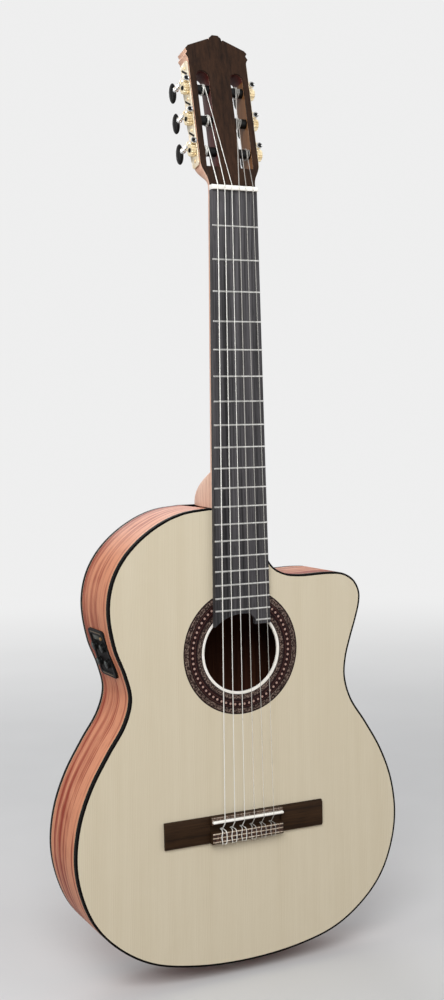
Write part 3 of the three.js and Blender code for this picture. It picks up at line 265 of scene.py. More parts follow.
def drawn_in(distance):
    """The outline moved inwards by a distance."""
    moved_in = []
    for i, point in enumerate(OUTLINE):
        arriving = (point - OUTLINE[i - 1]).normalized()
        leaving = (OUTLINE[(i + 1) % len(OUTLINE)] - point).normalized()
        inwards = Vector((-arriving.y - leaving.y, arriving.x + leaving.x)).normalized()
        moved_in.append(point + inwards * (distance / (inwards.x * -arriving.y + inwards.y * arriving.x)))
    return moved_in


def bass_edge_at(z):
    """Where the coarse outline of the solids crosses a height on the bass side."""
    return min(a.x + (b.x - a.x) * (z - a.y) / (b.y - a.y) for a, b in zip(COARSE, COARSE[1:] + COARSE[:1])
               if (a.y - z) * (b.y - z) <= 0 and a.y != b.y)


PANEL_Z = BODY_TOP - PANEL_DROP
PANEL_TOP_X, PANEL_LOW_X = (bass_edge_at(PANEL_Z + half) for half in (BEZEL_LENGTH / 2, -BEZEL_LENGTH / 2))
PANEL = shift((PANEL_TOP_X + PANEL_LOW_X) / 2, PANEL_DEPTH_AT, PANEL_Z) @ Matrix.Rotation(
    atan2(PANEL_TOP_X - PANEL_LOW_X, BEZEL_LENGTH), 4, "Y")


# Nodes
class Value:
    """What a node gives. Sums and products of it become Math nodes."""

    def __init__(self, tree, socket):
        self.tree, self.socket = tree, socket

    def calc(self, operation, *others):
        return put(self.tree, "ShaderNodeMath", dict(enumerate([self, *others])), operation=operation)[0]

    def __add__(self, other):
        return self.calc("ADD", other)

    def __sub__(self, other):
        return self.calc("SUBTRACT", other)

    def __mul__(self, other):
        return self.calc("MULTIPLY", other)

    def __truediv__(self, other):
        return self.calc("DIVIDE", other)


def paint(colour):
    """A colour from its three sRGB bytes; one of four numbers is ready."""
    if len(colour) == 4:
        return colour
    return tuple(c / 255 / 12.92 if c < 10.3 else ((c / 255 + 0.055) / 1.055) ** 2.4 for c in colour) + (1.0,)


def given_by(tree, node):
    return {key: Value(tree, socket) for i, socket in enumerate(node.outputs) for key in (i, socket.name)}


def wire(node, sockets):
    """Fills inputs with numbers, colours or what other nodes give."""
    for name, value in sockets.items():
        socket = node.inputs[name]
        if isinstance(value, Value):
            value.tree.links.new(value.socket, socket)
        else:
            socket.default_value = paint(value) if socket.type == "RGBA" else value


def put(tree, kind, sockets=None, **settings):
    """Adds a node and returns what it gives, by place and by name."""
    node = tree.nodes.new(kind)
    for name, value in settings.items():
        setattr(node, name, value)
    wire(node, sockets or {})
    return given_by(tree, node)


def mapped(value, low, high, start=0.0, end=1.0):
    return put(value.tree, "ShaderNodeMapRange", {0: value, 1: low, 2: high, 3: start, 4: end})[0]


def between(value, low, high, soft):
    """1 where a value lies between two limits, with soft edges."""
    return mapped(value, low - soft, low + soft) * mapped(value, high - soft, high + soft, 1.0, 0.0)


def blended(factor, first, second):
    return put(factor.tree, "ShaderNodeMix", {0: factor, 6: first, 7: second}, data_type="RGBA")[2]


def ramped(factor, *stops):
    node = factor.tree.nodes.new("ShaderNodeValToRGB")
    wire(node, {0: factor})
    elements = node.color_ramp.elements
    while len(elements) < len(stops):
        elements.new(0.5)
    for element, (place, colour) in zip(elements, stops):
        element.position = place
        element.color = paint(colour)
    return given_by(factor.tree, node)[0]


def noise(vector, scale, detail=2.0, roughness=0.5, distortion=0.0):
    return put(vector.tree, "ShaderNodeTexNoise", {
        "Vector": vector, "Scale": scale, "Detail": detail,
        "Roughness": roughness, "Distortion": distortion})[0]


def stretched(vector, z):
    """A pattern on this is drawn out along Z."""
    return put(vector.tree, "ShaderNodeVectorMath", {0: vector, 1: (1, 1, z)}, operation="MULTIPLY")[0]


def split(vector):
    made = put(vector.tree, "ShaderNodeSeparateXYZ", {0: vector})
    return made[0], made[1], made[2]


def joined(tree, **axes):
    return put(tree, "ShaderNodeCombineXYZ", axes)[0]


def distance_of(across, up):
    return (across * across + up * up).calc("SQRT")


def new_group(name, inputs, outputs):
    """A node group, from the names of its inputs and outputs under each kind of socket."""
    tree = bpy.data.node_groups.new(name, "ShaderNodeTree")
    for way, sockets in (("INPUT", inputs), ("OUTPUT", outputs)):
        for kind, labels in sockets.items():
            for label in labels:
                tree.interface.new_socket(label, in_out=way, socket_type="NodeSocket" + kind)
    return tree, given_by(tree, tree.nodes.new("NodeGroupInput")), tree.nodes.new("NodeGroupOutput")


def make_wood_group():
    """Wood whose grain runs along Z: fine lines, broad tone, pores and a cross shimmer."""
    tree, given, out = new_group("wood figure", {
        "Vector": ["Vector"], "Float": ["Lines", "Evenness", "Contrast", "Pores", "Ribbon"],
        "Color": ["Light", "Dark", "Pore Tone"]}, {"Color": ["Color"], "Float": ["Height", "Gloss"]})
    vector, lines = given["Vector"], given["Lines"]
    bend = noise(stretched(vector, 0.25), 6.0)
    sway = joined(tree, X=bend * 0.02, Y=bend * 0.01)
    drift = put(tree, "ShaderNodeVectorMath", {0: vector, 1: sway}, operation="ADD")[0]
    streak = noise(stretched(drift, 0.012), lines, 4.0, 0.62)
    broad = noise(stretched(drift, 0.03), lines * 0.11)
    even = (split(drift)[0] * lines + broad * 5.0).calc("FRACT").calc("POWER", 3.0)
    tone = put(tree, "ShaderNodeMix", {0: given["Evenness"], 2: streak - 0.1, 3: even}, data_type="FLOAT")[0]
    tone = (tone * 0.6 + broad * 0.4 - 0.45) * given["Contrast"] + 0.5
    ribbon = noise(stretched(vector, 0.5), 28.0, 2.0, 0.5, 1.5)
    tone = put(tree, "ShaderNodeClamp", {0: tone + (ribbon - 0.5) * given["Ribbon"]})[0]
    flecks = noise(stretched(vector, 0.035), 1500.0, 1.0, 0.4)
    pore = mapped(flecks, 0.6, 0.68) * given["Pores"]
    grain = blended(tone, given["Light"], given["Dark"])
    wire(out, {"Color": blended(pore, grain, given["Pore Tone"]), "Height": tone * -0.25 - pore,
               "Gloss": tone * 0.06 + pore * 0.15})
    return tree


def make_handled_group():
    """Slight unevenness of a handled, polished surface."""
    tree, given, out = new_group("handled surface", {"Vector": ["Vector"], "Float": ["Roughness", "Smudge"]},
                                 {"Float": ["Roughness", "Height"]})
    cloud = noise(given["Vector"], 22.0, 4.0, 0.6)
    fine = noise(given["Vector"], 900.0)
    wire(out, {"Roughness": given["Roughness"] + (cloud - 0.5) * given["Smudge"],
               "Height": cloud * 0.4 + fine * 0.2})
    return tree


def make_metal_group():
    """Plated metal: fine polishing lines and dull patches."""
    tree, given, out = new_group(
        "plated metal", {"Vector": ["Vector"], "Color": ["Bright", "Dull"], "Float": ["Roughness"]},
        {"Color": ["Color"], "Float": ["Roughness", "Height"]})
    lines = noise(stretched(given["Vector"], 0.05), 2600.0, 2.0, 0.6)
    dull = mapped(noise(given["Vector"], 160.0, 5.0, 0.65), 0.42, 0.75)
    wire(out, {"Color": blended(dull, given["Bright"], given["Dull"]),
               "Roughness": given["Roughness"] + dull * 0.16 + lines * 0.06, "Height": lines})
    return tree


WOOD, HANDLED, METAL = make_wood_group(), make_handled_group(), make_metal_group()


def grouped(vector, group, **inputs):
    """Places a node group; its inputs are named with _ for a space."""
    sockets = {name.replace("_", " "): value for name, value in inputs.items()}
    return put(vector.tree, "ShaderNodeGroup", {"Vector": vector, **sockets}, node_tree=group)


# Materials
CROSSWISE = (0, pi / 2, 0)
COAT_ROUGHNESS = 0.08


def new_material(name):
    """A material, its surface shader and the place on the object."""
    material = bpy.data.materials.new(name)
    material.use_nodes = True
    tree = material.node_tree
    tree.nodes.clear()
    shader = tree.nodes.new("ShaderNodeBsdfPrincipled")
    output = tree.nodes.new("ShaderNodeOutputMaterial")
    tree.links.new(shader.outputs[0], output.inputs[0])
    return material, shader, put(tree, "ShaderNodeTexCoord")["Object"]


def attribute(vector):
    """The length along a string or a rim."""
    return put(vector.tree, "ShaderNodeAttribute", attribute_name="along", attribute_type="GEOMETRY")["Fac"]


def surfaced(shader, colour, roughness, height, relief, strength=0.5, specular=0.5, coat=0.0, metal=0.0):
    bump = put(height.tree, "ShaderNodeBump", {"Strength": strength, "Distance": relief, "Height": height})[0]
    wire(shader, {"Base Color": colour, "Roughness": roughness, "Normal": bump, "Metallic": metal,
                  "Specular IOR Level": specular, "Coat Weight": coat, "Coat Roughness": COAT_ROUGHNESS})


def wood(name, light, dark, lines, contrast, pores=0.0, pore_tone=(40, 22, 14), evenness=0.0, ribbon=0.0,
         turn=(0, 0, 0), follow=False, book=False, roughness=0.38, coat=0.0, specular=0.5, relief=0.00004):
    """A wood. turn brings its grain onto Z, or the grain follows a bent piece.
    A book-matched board mirrors its figure at the centre line."""
    material, shader, vector = new_material(name)
    across, depth, up = split(vector)
    if follow:
        vector = joined(vector.tree, X=depth, Z=attribute(vector))
    elif book:
        vector = joined(vector.tree, X=across.calc("ABSOLUTE"), Y=depth, Z=up)
    else:
        vector = put(vector.tree, "ShaderNodeMapping", {"Vector": vector, "Rotation": turn})[0]
    figure = grouped(vector, WOOD, Lines=lines, Evenness=evenness, Light=light, Dark=dark, Contrast=contrast,
                     Pores=pores, Pore_Tone=pore_tone, Ribbon=ribbon)
    surface = grouped(vector, HANDLED, Roughness=roughness, Smudge=0.12)
    surfaced(shader, figure["Color"], surface["Roughness"] + figure["Gloss"], figure["Height"], relief,
             specular=specular, coat=coat)
    return material


def moulded(shader, vector, colour, roughness, smudge=0.1, relief=0.00001, **gloss):
    surface = grouped(vector, HANDLED, Roughness=roughness, Smudge=smudge)
    surfaced(shader, colour, surface["Roughness"], surface["Height"], relief, **gloss)


def plain(name, colour, roughness, second=None, spot=300.0, relief=0.00002, **gloss):
    """A moulded, cut or painted material: its colour drifts slightly and its surface is fine grained."""
    material, shader, vector = new_material(name)
    second = second or tuple(int(c * 0.82) for c in colour)
    drift = ramped(noise(vector, spot, 3.0, 0.6), (0.3, second), (0.62, colour))
    moulded(shader, vector, drift, roughness, relief=relief, **gloss)
    return material


def plated(name, bright, dull, roughness, turn=(0, 0, 0)):
    material, shader, vector = new_material(name)
    vector = put(vector.tree, "ShaderNodeMapping", {"Vector": vector, "Rotation": turn})[0]
    metal = grouped(vector, METAL, Bright=bright, Dull=dull, Roughness=roughness)
    surfaced(shader, metal["Color"], metal["Roughness"], metal["Height"], 0.000004, metal=1.0)
    return material


def tiles_on(x, y, *rows):
    """Small tiles, one for each whole step of x and y, in a tone of each row's own ramp."""
    cell = joined(x.tree, X=x.calc("FLOOR"), Y=y.calc("FLOOR"))
    random = put(x.tree, "ShaderNodeTexWhiteNoise", {"Vector": cell}, noise_dimensions="3D")[0]
    return [ramped(random, *stops) for stops in rows]


def make_rosette_material():
    """Rings of small tiles round the sound hole, with one ring of light dots."""
    material, shader, vector = new_material("rosette mosaic")
    x, _, z = split(vector)
    across, up = x / MM, z / MM - HOLE_Z
    radius = distance_of(across, up)
    share = (up.calc("ARCTAN2", across) + pi) / TURN
    speckle, = tiles_on(share * 300.0, radius / 0.9, [
        (0.0, (18, 10, 10)), (0.35, (48, 34, 31)), (0.6, (86, 69, 62)), (1.0, (134, 116, 106))])
    maroon, = tiles_on(share * 256.0, radius / 1.1, [(0.0, (16, 3, 5)), (0.6, (28, 5, 7)), (1.0, (42, 11, 11))])
    colour = blended(between(radius, 51.0, 60.0, 0.08), speckle, maroon)
    dots, dot_ring, dot_radius = 64, 56, 1.25
    sideways = ((share * float(dots)).calc("FRACT") - 0.5) * (TURN * dot_ring / dots)
    dot = between(distance_of(sideways, radius - float(dot_ring)), -1.0, dot_radius, 0.12)
    colour = blended(dot, colour, (176, 146, 134))
    for low, high, tone in ((45.0, 46.2, (34, 24, 22)), (50.5, 51.2, (28, 16, 16)), (53.2, 53.5, (92, 62, 52)),
                            (58.7, 59.0, (92, 62, 52)), (59.8, 60.5, (28, 16, 16)), (62.6, 62.9, (40, 26, 22)),
                            (65.1, 67.0, (32, 18, 16))):
        colour = blended(between(radius, low, high, 0.06), colour, tone)
    moulded(shader, vector, colour, 0.5, specular=0.12)
    return material


def make_tie_material():
    """Rows of small light and dark tiles along the tie block and in front of the saddle."""
    material, shader, vector = new_material("tie block mosaic")
    x, _, z = split(vector)
    down = z / MM * -1.0 + TIE_FRONT
    colour, tiles = tiles_on(
        x / MM / 1.3, down / 1.4, [(0.0, (30, 17, 13)), (0.55, (54, 34, 26)), (1.0, (96, 68, 54))],
        [(0.0, (138, 116, 94)), (0.5, (196, 180, 158)), (1.0, (230, 220, 204))])
    for low, high, share in ((1.1, 2.2, 1.0), (5.4, 6.5, 1.0), (9.7, 10.8, 1.0), (-15.3, -14.5, 0.3),
                             (-13.5, -12.7, 0.3)):
        colour = blended(between(down, low, high, 0.08) * share, colour, tiles)
    moulded(shader, vector, colour, 0.45, specular=0.25)
    return material


def make_plate_material():
    """Pale gold plate with fine engraved scrolls."""
    material, shader, vector = new_material("engraved gold plate")
    metal = grouped(vector, METAL, Bright=(246, 236, 214), Dull=(222, 200, 160), Roughness=0.3)
    scroll = put(vector.tree, "ShaderNodeTexWave", {"Vector": vector, "Scale": 130.0, "Distortion": 8.0,
                                                    "Detail": 1.0, "Detail Scale": 1.2}, wave_type="RINGS")
    cut = between(scroll["Fac"], 0.44, 0.54, 0.04) * 0.55
    surfaced(shader, blended(cut, metal["Color"], (84, 60, 34)), metal["Roughness"] + cut * 0.3,
             cut * -1.0, 0.00006, 0.6, metal=cut * -1.0 + 0.8)
    return material


def make_wound_material():
    """A wound string, with a ridge for each turn of its wire."""
    material, shader, vector = new_material("wound silver")
    wire_pitch = 0.0003
    ridge = ((attribute(vector) / wire_pitch).calc("FRACT") * pi).calc("SINE")
    drift = noise(vector, 60.0, 3.0)
    # The colour darkens between the turns of the wire: painted shade in the grooves.
    shade = ridge * 0.22 + 0.78
    grey = put(vector.tree, "ShaderNodeCombineColor", dict.fromkeys(range(3), shade))[0]
    silver = blended(drift, (242, 240, 232), (255, 255, 250))
    colour = put(vector.tree, "ShaderNodeMix", {0: 1.0, 6: silver, 7: grey}, data_type="RGBA",
                 blend_type="MULTIPLY")[2]
    surfaced(shader, colour, drift * 0.1 + 0.24, ridge, 0.00004, 0.6, metal=0.2)
    return material


def make_nylon_material():
    """Clear nylon: what lies behind the string shows through it."""
    material, shader, vector = new_material("clear nylon")
    drift = noise(vector, 80.0, 3.0)
    wire(shader, {"Base Color": blended(drift, (214, 211, 203), (236, 234, 228)),
                  "Roughness": drift * 0.1 + 0.16, "Alpha": 0.36})
    return material


SPRUCE = wood("spruce", (227, 218, 196), (199, 185, 155), 620.0, 0.9, evenness=0.55, ribbon=0.14, book=True,
              roughness=0.45, coat=0.04, specular=0.35, relief=0.00001)
BRACE_SPRUCE, FAN_SPRUCE = (
    wood(name, (218, 200, 160), (178, 150, 104), 700.0, 1.1, evenness=0.6, turn=turn, roughness=0.6)
    for name, turn in (("brace spruce", CROSSWISE), ("fan spruce", (0, 0, 0))))
RIM_MAHOGANY = wood("rim mahogany", (213, 142, 107), (142, 50, 26), 150.0, 9.0, 0.4, (104, 36, 20), ribbon=1.4,
                    follow=True, roughness=0.42, specular=0.14)
BACK_MAHOGANY = wood("back mahogany", (214, 140, 106), (138, 54, 28), 90.0, 6.0, 0.5, (84, 34, 22), ribbon=0.6,
                     book=True, roughness=0.42, specular=0.22)
# The inside is bare wood, and its colour is darkened further as painted shade inside the closed body.
INNER_WOOD_IN_PAINTED_SHADE = wood("bare inside wood darkened as painted shade", (76, 44, 30), (42, 22, 14), 200.0, 3.0, 0.5, (40, 20, 13),
                  roughness=0.75, specular=0.1)
NECK_MAHOGANY = wood("neck mahogany", (253, 220, 196), (212, 158, 132), 200.0, 2.2, 0.4, (150, 92, 70),
                     ribbon=0.3, roughness=0.45, specular=0.4)
# Darker copies of the head wood for the slot walls: painted shade in the slots, deepest on the bass side and at
# the slot ends.
SLOT_WALL_DEEP_PAINTED_SHADE = wood("slot wall darkened as deep painted shade", (104, 46, 40), (48, 14, 12), 200.0, 1.6, 0.4, (30, 10, 8),
                   roughness=0.5, specular=0.25)
SLOT_WALL_PAINTED_SHADE = wood("slot wall darkened as painted shade", (150, 104, 62), (96, 58, 30), 200.0, 1.8, 0.4, (60, 34, 18),
                   roughness=0.5, specular=0.25)
BAR_MAHOGANY = wood("bar mahogany", (208, 138, 104), (148, 62, 36), 200.0, 4.0, 0.4, turn=CROSSWISE,
                    roughness=0.6)
LINING_WOOD = wood("lining wood", (214, 184, 140), (170, 136, 92), 300.0, 1.2, turn=CROSSWISE, roughness=0.7)
ROSEWOOD = wood("rosewood", (62, 41, 28), (22, 12, 7), 300.0, 3.0, 0.25, (14, 8, 6), ribbon=0.3, roughness=0.55,
                specular=0.12)
BRIDGE_ROSEWOOD = wood("bridge rosewood", (64, 44, 27), (22, 13, 7), 480.0, 2.4, 0.5, (12, 7, 5), ribbon=0.4,
                       turn=CROSSWISE, roughness=0.6, specular=0.1)
EBONY = wood("ebony", (92, 90, 93), (22, 21, 23), 330.0, 4.5, 0.5, (12, 11, 12), roughness=0.5, specular=0.25)
BLACK_BINDING = plain("black binding", (10, 8, 8), 0.6, specular=0.06)
LIGHT_LINE = plain("light line", (214, 196, 156), 0.4, (190, 168, 126))
BONE = plain("bone", (254, 253, 249), 0.4, (246, 243, 234), 90.0)
RING_WHITE = plain("ring white", (253, 250, 244), 0.4, (240, 235, 222), 90.0)
SATIN_BLACK = plain("satin black plastic", (14, 13, 13), 0.5, specular=0.08, relief=0.00005)
KNOB_BLACK = plain("knob rubber", (9, 11, 10), 0.4, specular=0.16, relief=0.00006)
PANEL_GREY = plain("panel grey", (20, 17, 17), 0.55, specular=0.06, relief=0.00006)
PUSH_BRASS = plain("push button brass", (148, 120, 82), 0.4, specular=0.3)
# Pointer mark on each knob. Its greenish white stands in for the knobs' glints, so it is partly a painted
# highlight.
POINTER_MARK_AND_PAINTED_GLINT = plain("knob pointer tinted as a painted glint", (150, 172, 162), 0.4)
BRASS_EDGE = plain("bezel edge line", (112, 92, 66), 0.45, specular=0.2)
DISPLAY = plain("display glass", (62, 64, 54), 0.3, (44, 46, 40), 60.0, specular=0.15)
ROLLER_BLACK = plain("roller black", (13, 13, 13), 0.35, specular=0.2)
DARK_FILL = plain("dark fill in the engraving", (16, 13, 11), 0.6, specular=0.15)
BUTTON_DARK = plain("button dark", (7, 6, 6), 0.2, (16, 13, 12), 70.0, specular=0.14)
CHROME = plated("chrome", (226, 226, 226), (188, 188, 186), 0.12)
STEEL = plated("steel", (206, 207, 208), (160, 160, 160), 0.24)
GOLD = plated("gold", (246, 230, 194), (210, 182, 132), 0.26)
FRET_METAL = plated("fret silver", (196, 195, 192), (150, 149, 146), 0.25, CROSSWISE)
BATTERY_CASE = plain("battery case", (56, 58, 62), 0.35, metal=0.5, spot=120.0)
PICKUP_FILM = plain("pickup film", (190, 150, 92), 0.4, metal=0.7)
MOSAIC = make_rosette_material()
ENGRAVED = make_plate_material()
WOUND = make_wound_material()
NYLON = make_nylon_material()
TIE_MOSAIC = make_tie_material()


# Mesh helpers
def loop(bm, points, closed=True):
    corners = [bm.verts.new(point) for point in points]
    pairs = zip(corners, corners[1:] + (corners[:1] if closed else []))
    return [bm.edges.new(pair) for pair in pairs]


def pulled(bm, offset):
    """Extrudes the faces into a solid."""
    made = bmesh.ops.extrude_face_region(bm, geom=bm.faces[:])["geom"]
    bmesh.ops.translate(bm, verts=[v for v in made if isinstance(v, bmesh.types.BMVert)], vec=offset)
    return bm


def plate(outline, front, back, holes=()):
    """A flat plate of an outline across X and Z, from its front to its back along Y."""
    bm = bmesh.new()
    edges = [e for points in (outline, *holes) for e in loop(bm, [(p[0], front, p[1]) for p in points])]
    bmesh.ops.triangle_fill(bm, edges=edges, use_beauty=True)
    return pulled(bm, (0, back - front, 0))


def bar(section, ends):
    """A bar along X of one section: pairs of Z and Y."""
    bm = bmesh.new()
    bmesh.ops.contextual_create(bm, geom=loop(bm, [(ends[0], y, z) for z, y in section]))
    return pulled(bm, (ends[1] - ends[0], 0, 0))


def span(middle, half):
    return middle - half, middle + half


def brick(x, y, z):
    return bar([(z[0], y[0]), (z[1], y[0]), (z[1], y[1]), (z[0], y[1])], x)


def arc(x, z, radius, start, end, steps):
    """Points of an arc between two angles that run from X to Z."""
    angles = [start + (end - start) * k / steps for k in range(steps + 1)]
    return [(x + radius * cos(a), z + radius * sin(a)) for a in angles]


def oblong(length, width, radius):
    """A rectangle with round corners."""
    points = []
    for i, (across, along) in enumerate(((1, 1), (-1, 1), (-1, -1), (1, -1))):
        points += arc(across * (width / 2 - radius), along * (length / 2 - radius), radius,
                      pi / 2 * i, pi / 2 * (i + 1), 6)
    return points


def turned(profile, steps, closed=False):
    """A piece turned round Z: pairs of height and radius."""
    bm = bmesh.new()
    edges = loop(bm, [(radius, 0, height) for height, radius in profile], closed)
    bmesh.ops.spin(bm, geom=bm.verts[:] + edges, cent=(0, 0, 0), axis=(0, 0, 1), angle=TURN, steps=steps,
                   use_merge=True)
    bmesh.ops.remove_doubles(bm, verts=bm.verts, dist=0.001)
    return bm


def rod(low, high, radius, steps):
    return turned([(low, 0), (low, radius), (high, radius), (high, 0)], steps)


def skinned(bm, loops):
    """Joins loops into one skin, closed at both ends."""
    for here, there in zip(loops, loops[1:]):
        bmesh.ops.bridge_loops(bm, edges=here + there)
    for end in (loops[0], loops[-1]):
        bmesh.ops.contextual_create(bm, geom=end)
    return bm


def tube(points, radius, sides):
    """A round tube through points. The attribute along holds the length from its start, in metres."""
    bm = bmesh.new()
    length = bm.verts.layers.float.new("along")
    normal = Vector((1, 0, 0))
    travelled = 0.0
    loops = []
    for i, point in enumerate(points):
        ahead = (points[min(i + 1, len(points) - 1)] - points[max(i - 1, 0)]).normalized()
        normal = (normal - ahead * normal.dot(ahead)).normalized()
        other = ahead.cross(normal)
        if i:
            travelled += (point - points[i - 1]).length
        ring = loop(bm, [point + normal * x + other * y for x, y in arc(0, 0, radius, 0, TURN, sides)[:-1]])
        for edge in ring:
            for corner in edge.verts:
                corner[length] = travelled * MM
        loops.append(ring)
    return skinned(bm, loops)


def outward(bm):
    bmesh.ops.recalc_face_normals(bm, faces=bm.faces)
    return bm


def eased(bm, edges, width, segments, clamp=True):
    bmesh.ops.bevel(bm, geom=edges, offset=width, offset_type="OFFSET", affect="EDGES", segments=segments,
                    profile=0.5, material=-1, clamp_overlap=clamp)
    return bm


def softened(bm, width, segments=2, least=35):
    """Rounds the edges that are sharper than an angle."""
    outward(bm)
    sharp = [e for e in bm.edges if e.is_manifold and e.calc_face_angle() > radians(least)]
    return eased(bm, sharp, width, segments)


def moved(bm, matrix):
    bmesh.ops.transform(bm, matrix=matrix, verts=bm.verts)
    return bm


def meshed(name, bm):
    mesh = bpy.data.meshes.new(name)
    bm.to_mesh(mesh)
    bm.free()
    return mesh


def placed(name, data):
    made = bpy.data.objects.new(name, data)
    scene.collection.objects.link(made)
    return made


def merged(*parts):
    """Several shapes as one mesh."""
    whole = bmesh.new()
    whole.verts.layers.float.new("along")
    for part in parts:
        mesh = meshed("part", part)
        whole.from_mesh(mesh)
        bpy.data.meshes.remove(mesh)
    return whole


def carved(bm, tool, operation="DIFFERENCE"):
    """A shape cut by another one, or only what both share."""
    blank, cutter = pair = [placed("cut", meshed("cut", outward(shape))) for shape in (bm, tool)]
    cut = blank.modifiers.new("cut", "BOOLEAN")
    cut.operation, cut.solver, cut.object = operation, "EXACT", cutter
    result = bmesh.new()
    result.from_object(blank, bpy.context.evaluated_depsgraph_get())
    for made in pair:
        mesh = made.data
        bpy.data.objects.remove(made)
        bpy.data.meshes.remove(mesh)
    result.normal_update()
    return result


def sliced(bm, place, normal):
    """Cuts off what lies past a plane and closes the cut."""
    cut = bmesh.ops.bisect_plane(bm, geom=bm.verts[:] + bm.edges[:] + bm.faces[:], dist=0.0001, plane_co=place,
                                 plane_no=normal, clear_outer=True)["geom_cut"]
    bmesh.ops.contextual_create(bm, geom=[e for e in cut if isinstance(e, bmesh.types.BMEdge)])
    return bm


def copied(node, width, segments=2):
    """A solid's own shape as one clean mesh, in millimetres, its edges rounded."""
    bm = bmesh.new()
    bm.from_mesh(nodes[node].data)
    bmesh.ops.scale(bm, vec=(1 / MM, 1 / MM, 1 / MM), verts=bm.verts)
    bmesh.ops.remove_doubles(bm, verts=bm.verts, dist=0.002)
    bmesh.ops.dissolve_limit(bm, angle_limit=radians(1), verts=bm.verts, edges=bm.edges)
    return softened(bm, width, segments)


def piece(name, bm, material, replaces=(), place=None, crease=35, body=BODY):
    """Finishes a piece: its mesh in metres, its material, the body it rides on and what it stands for."""
    if place is not None:
        moved(bm, place)
    bmesh.ops.scale(bm, vec=(MM, MM, MM), verts=outward(bm).verts)
    mesh = meshed(name, bm)
    for each in material if isinstance(material, list) else [material]:
        mesh.materials.append(each)
    mesh.polygons.foreach_set("use_smooth", [True] * len(mesh.polygons))
    mesh.set_sharp_from_angle(angle=radians(crease))
    made = placed(name, mesh)
    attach(made, body)
    if replaces:
        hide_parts(*replaces)


# Body
board = plate(drawn_in(BINDING_WIDTH), 0, SOUNDBOARD_THICKNESS)
under = SOUNDBOARD_THICKNESS + 1
well = turned([(-1, 0), (-1, ROSETTE_RADIUS), (ROSETTE_THICKNESS, ROSETTE_RADIUS),
               (ROSETTE_THICKNESS, RING_OUTER), (under, RING_OUTER), (under, 0)], HOLE_SIDES)
piece("soundboard_top", carved(board, moved(well, AT_HOLE)), SPRUCE, ["soundboard"], crease=20)


def flat_ring(inner, outer, thickness, width):
    bm = turned([(0, inner), (thickness, inner), (thickness, outer), (0, outer)], HOLE_SIDES, closed=True)
    return softened(bm, width, 2, 60)


piece("hole_ring", flat_ring(HOLE_RADIUS, RING_OUTER, SOUNDBOARD_THICKNESS, 0.4), RING_WHITE,
      ["soundhole_ring"], AT_HOLE)
piece("rosette_inlay", flat_ring(RING_OUTER, ROSETTE_RADIUS, ROSETTE_THICKNESS, 0.03),
      MOSAIC, ["rosette"], AT_HOLE)
back = plate(drawn_in(BINDING_WIDTH), BODY_DEPTH - BACK_THICKNESS, BODY_DEPTH)
# The inner face of the back takes the inside wood, darkened as painted shade.
for face in back.faces:
    face.material_index = int(face.calc_center_median().y < BODY_DEPTH - 0.1)
piece("back_board", back, [BACK_MAHOGANY, INNER_WOOD_IN_PAINTED_SHADE], ["back_plate"], crease=20)


def binding(face, inwards):
    """A black strip let in round the edge, its outer corner eased."""
    bm = bmesh.new()
    corner, inner = (loop(bm, [(p.x, face, p.y) for p in drawn_in(width)]) for width in (0, BINDING_WIDTH))
    bmesh.ops.triangle_fill(bm, edges=corner + inner, use_beauty=True)
    pulled(bm, (0, inwards * BINDING_HEIGHT, 0))
    return eased(bm, corner, BINDING_EASE, 3, clamp=False)


piece("binding_front", binding(0, 1), BLACK_BINDING, ["top_binding"], crease=40)
piece("binding_rear", binding(BODY_DEPTH, -1), BLACK_BINDING, ["back_binding"], crease=40)


def panel_opening(bm):
    """Cuts the opening for the panel through a rim and joins the edges of its two walls."""
    into_panel, room = PANEL.inverted(), 12
    half_length, half_width = SKIRT_LENGTH / 2 + PANEL_GAP, SKIRT_WIDTH / 2 + PANEL_GAP

    def within(face, across, along):
        middle = into_panel @ face.calc_center_median()
        return abs(middle.z) < along and abs(middle.y) < across and abs(middle.x) < room

    for axis, limit in ((2, half_length), (2, -half_length), (1, half_width), (1, -half_width)):
        normal = Vector((0, 0, 0))
        normal[axis] = 1
        near = [f for f in bm.faces if within(f, BODY_DEPTH, 2 * half_length)]
        bmesh.ops.bisect_plane(bm, geom=list({x for f in near for x in (f, *f.edges, *f.verts)}), dist=0.0001,
                               plane_co=PANEL @ (normal * limit), plane_no=PANEL.to_3x3() @ normal)
    inside = [f for f in bm.faces if within(f, half_width, half_length)]
    bmesh.ops.delete(bm, geom=inside, context="FACES")
    bmesh.ops.bridge_loops(bm, edges=[e for e in bm.edges if e.is_boundary])


def rim(first, last):
    """One side bent from a single board, with a light line under each binding."""
    bm = bmesh.new()
    length = bm.verts.layers.float.new("along")
    low, high = BINDING_HEIGHT, BODY_DEPTH - BINDING_HEIGHT
    outer, inner = drawn_in(0), drawn_in(RIM_THICKNESS)

    def chain(points, y):
        edges = loop(bm, [(points[i].x, y, points[i].y) for i in range(first, last + 1)], closed=False)
        corners = [edges[0].verts[0], *(edge.verts[1] for edge in edges)]
        for corner, travelled in zip(corners, TRAVELLED[first:]):
            corner[length] = travelled
        return edges

    heights = (low, low + LIGHT_LINE_HEIGHT, BODY_DEPTH / 2, high - LIGHT_LINE_HEIGHT, high)
    rings = [chain(outer, y) for y in heights]
    rings += reversed([chain(inner, y) for y in (low, high)])
    # The inner wall takes the inside wood, darkened as painted shade.
    for i, (here, there) in enumerate(zip(rings, rings[1:] + rings[:1])):
        for wall in bmesh.ops.bridge_loops(bm, edges=here + there)["faces"]:
            wall.material_index = {0: 1, 3: 1, 5: 2}.get(i, 0)
    for end in bmesh.ops.holes_fill(bm, edges=[e for e in bm.edges if e.is_boundary], sides=0)["faces"]:
        end.material_index = 0
    return outward(bm)


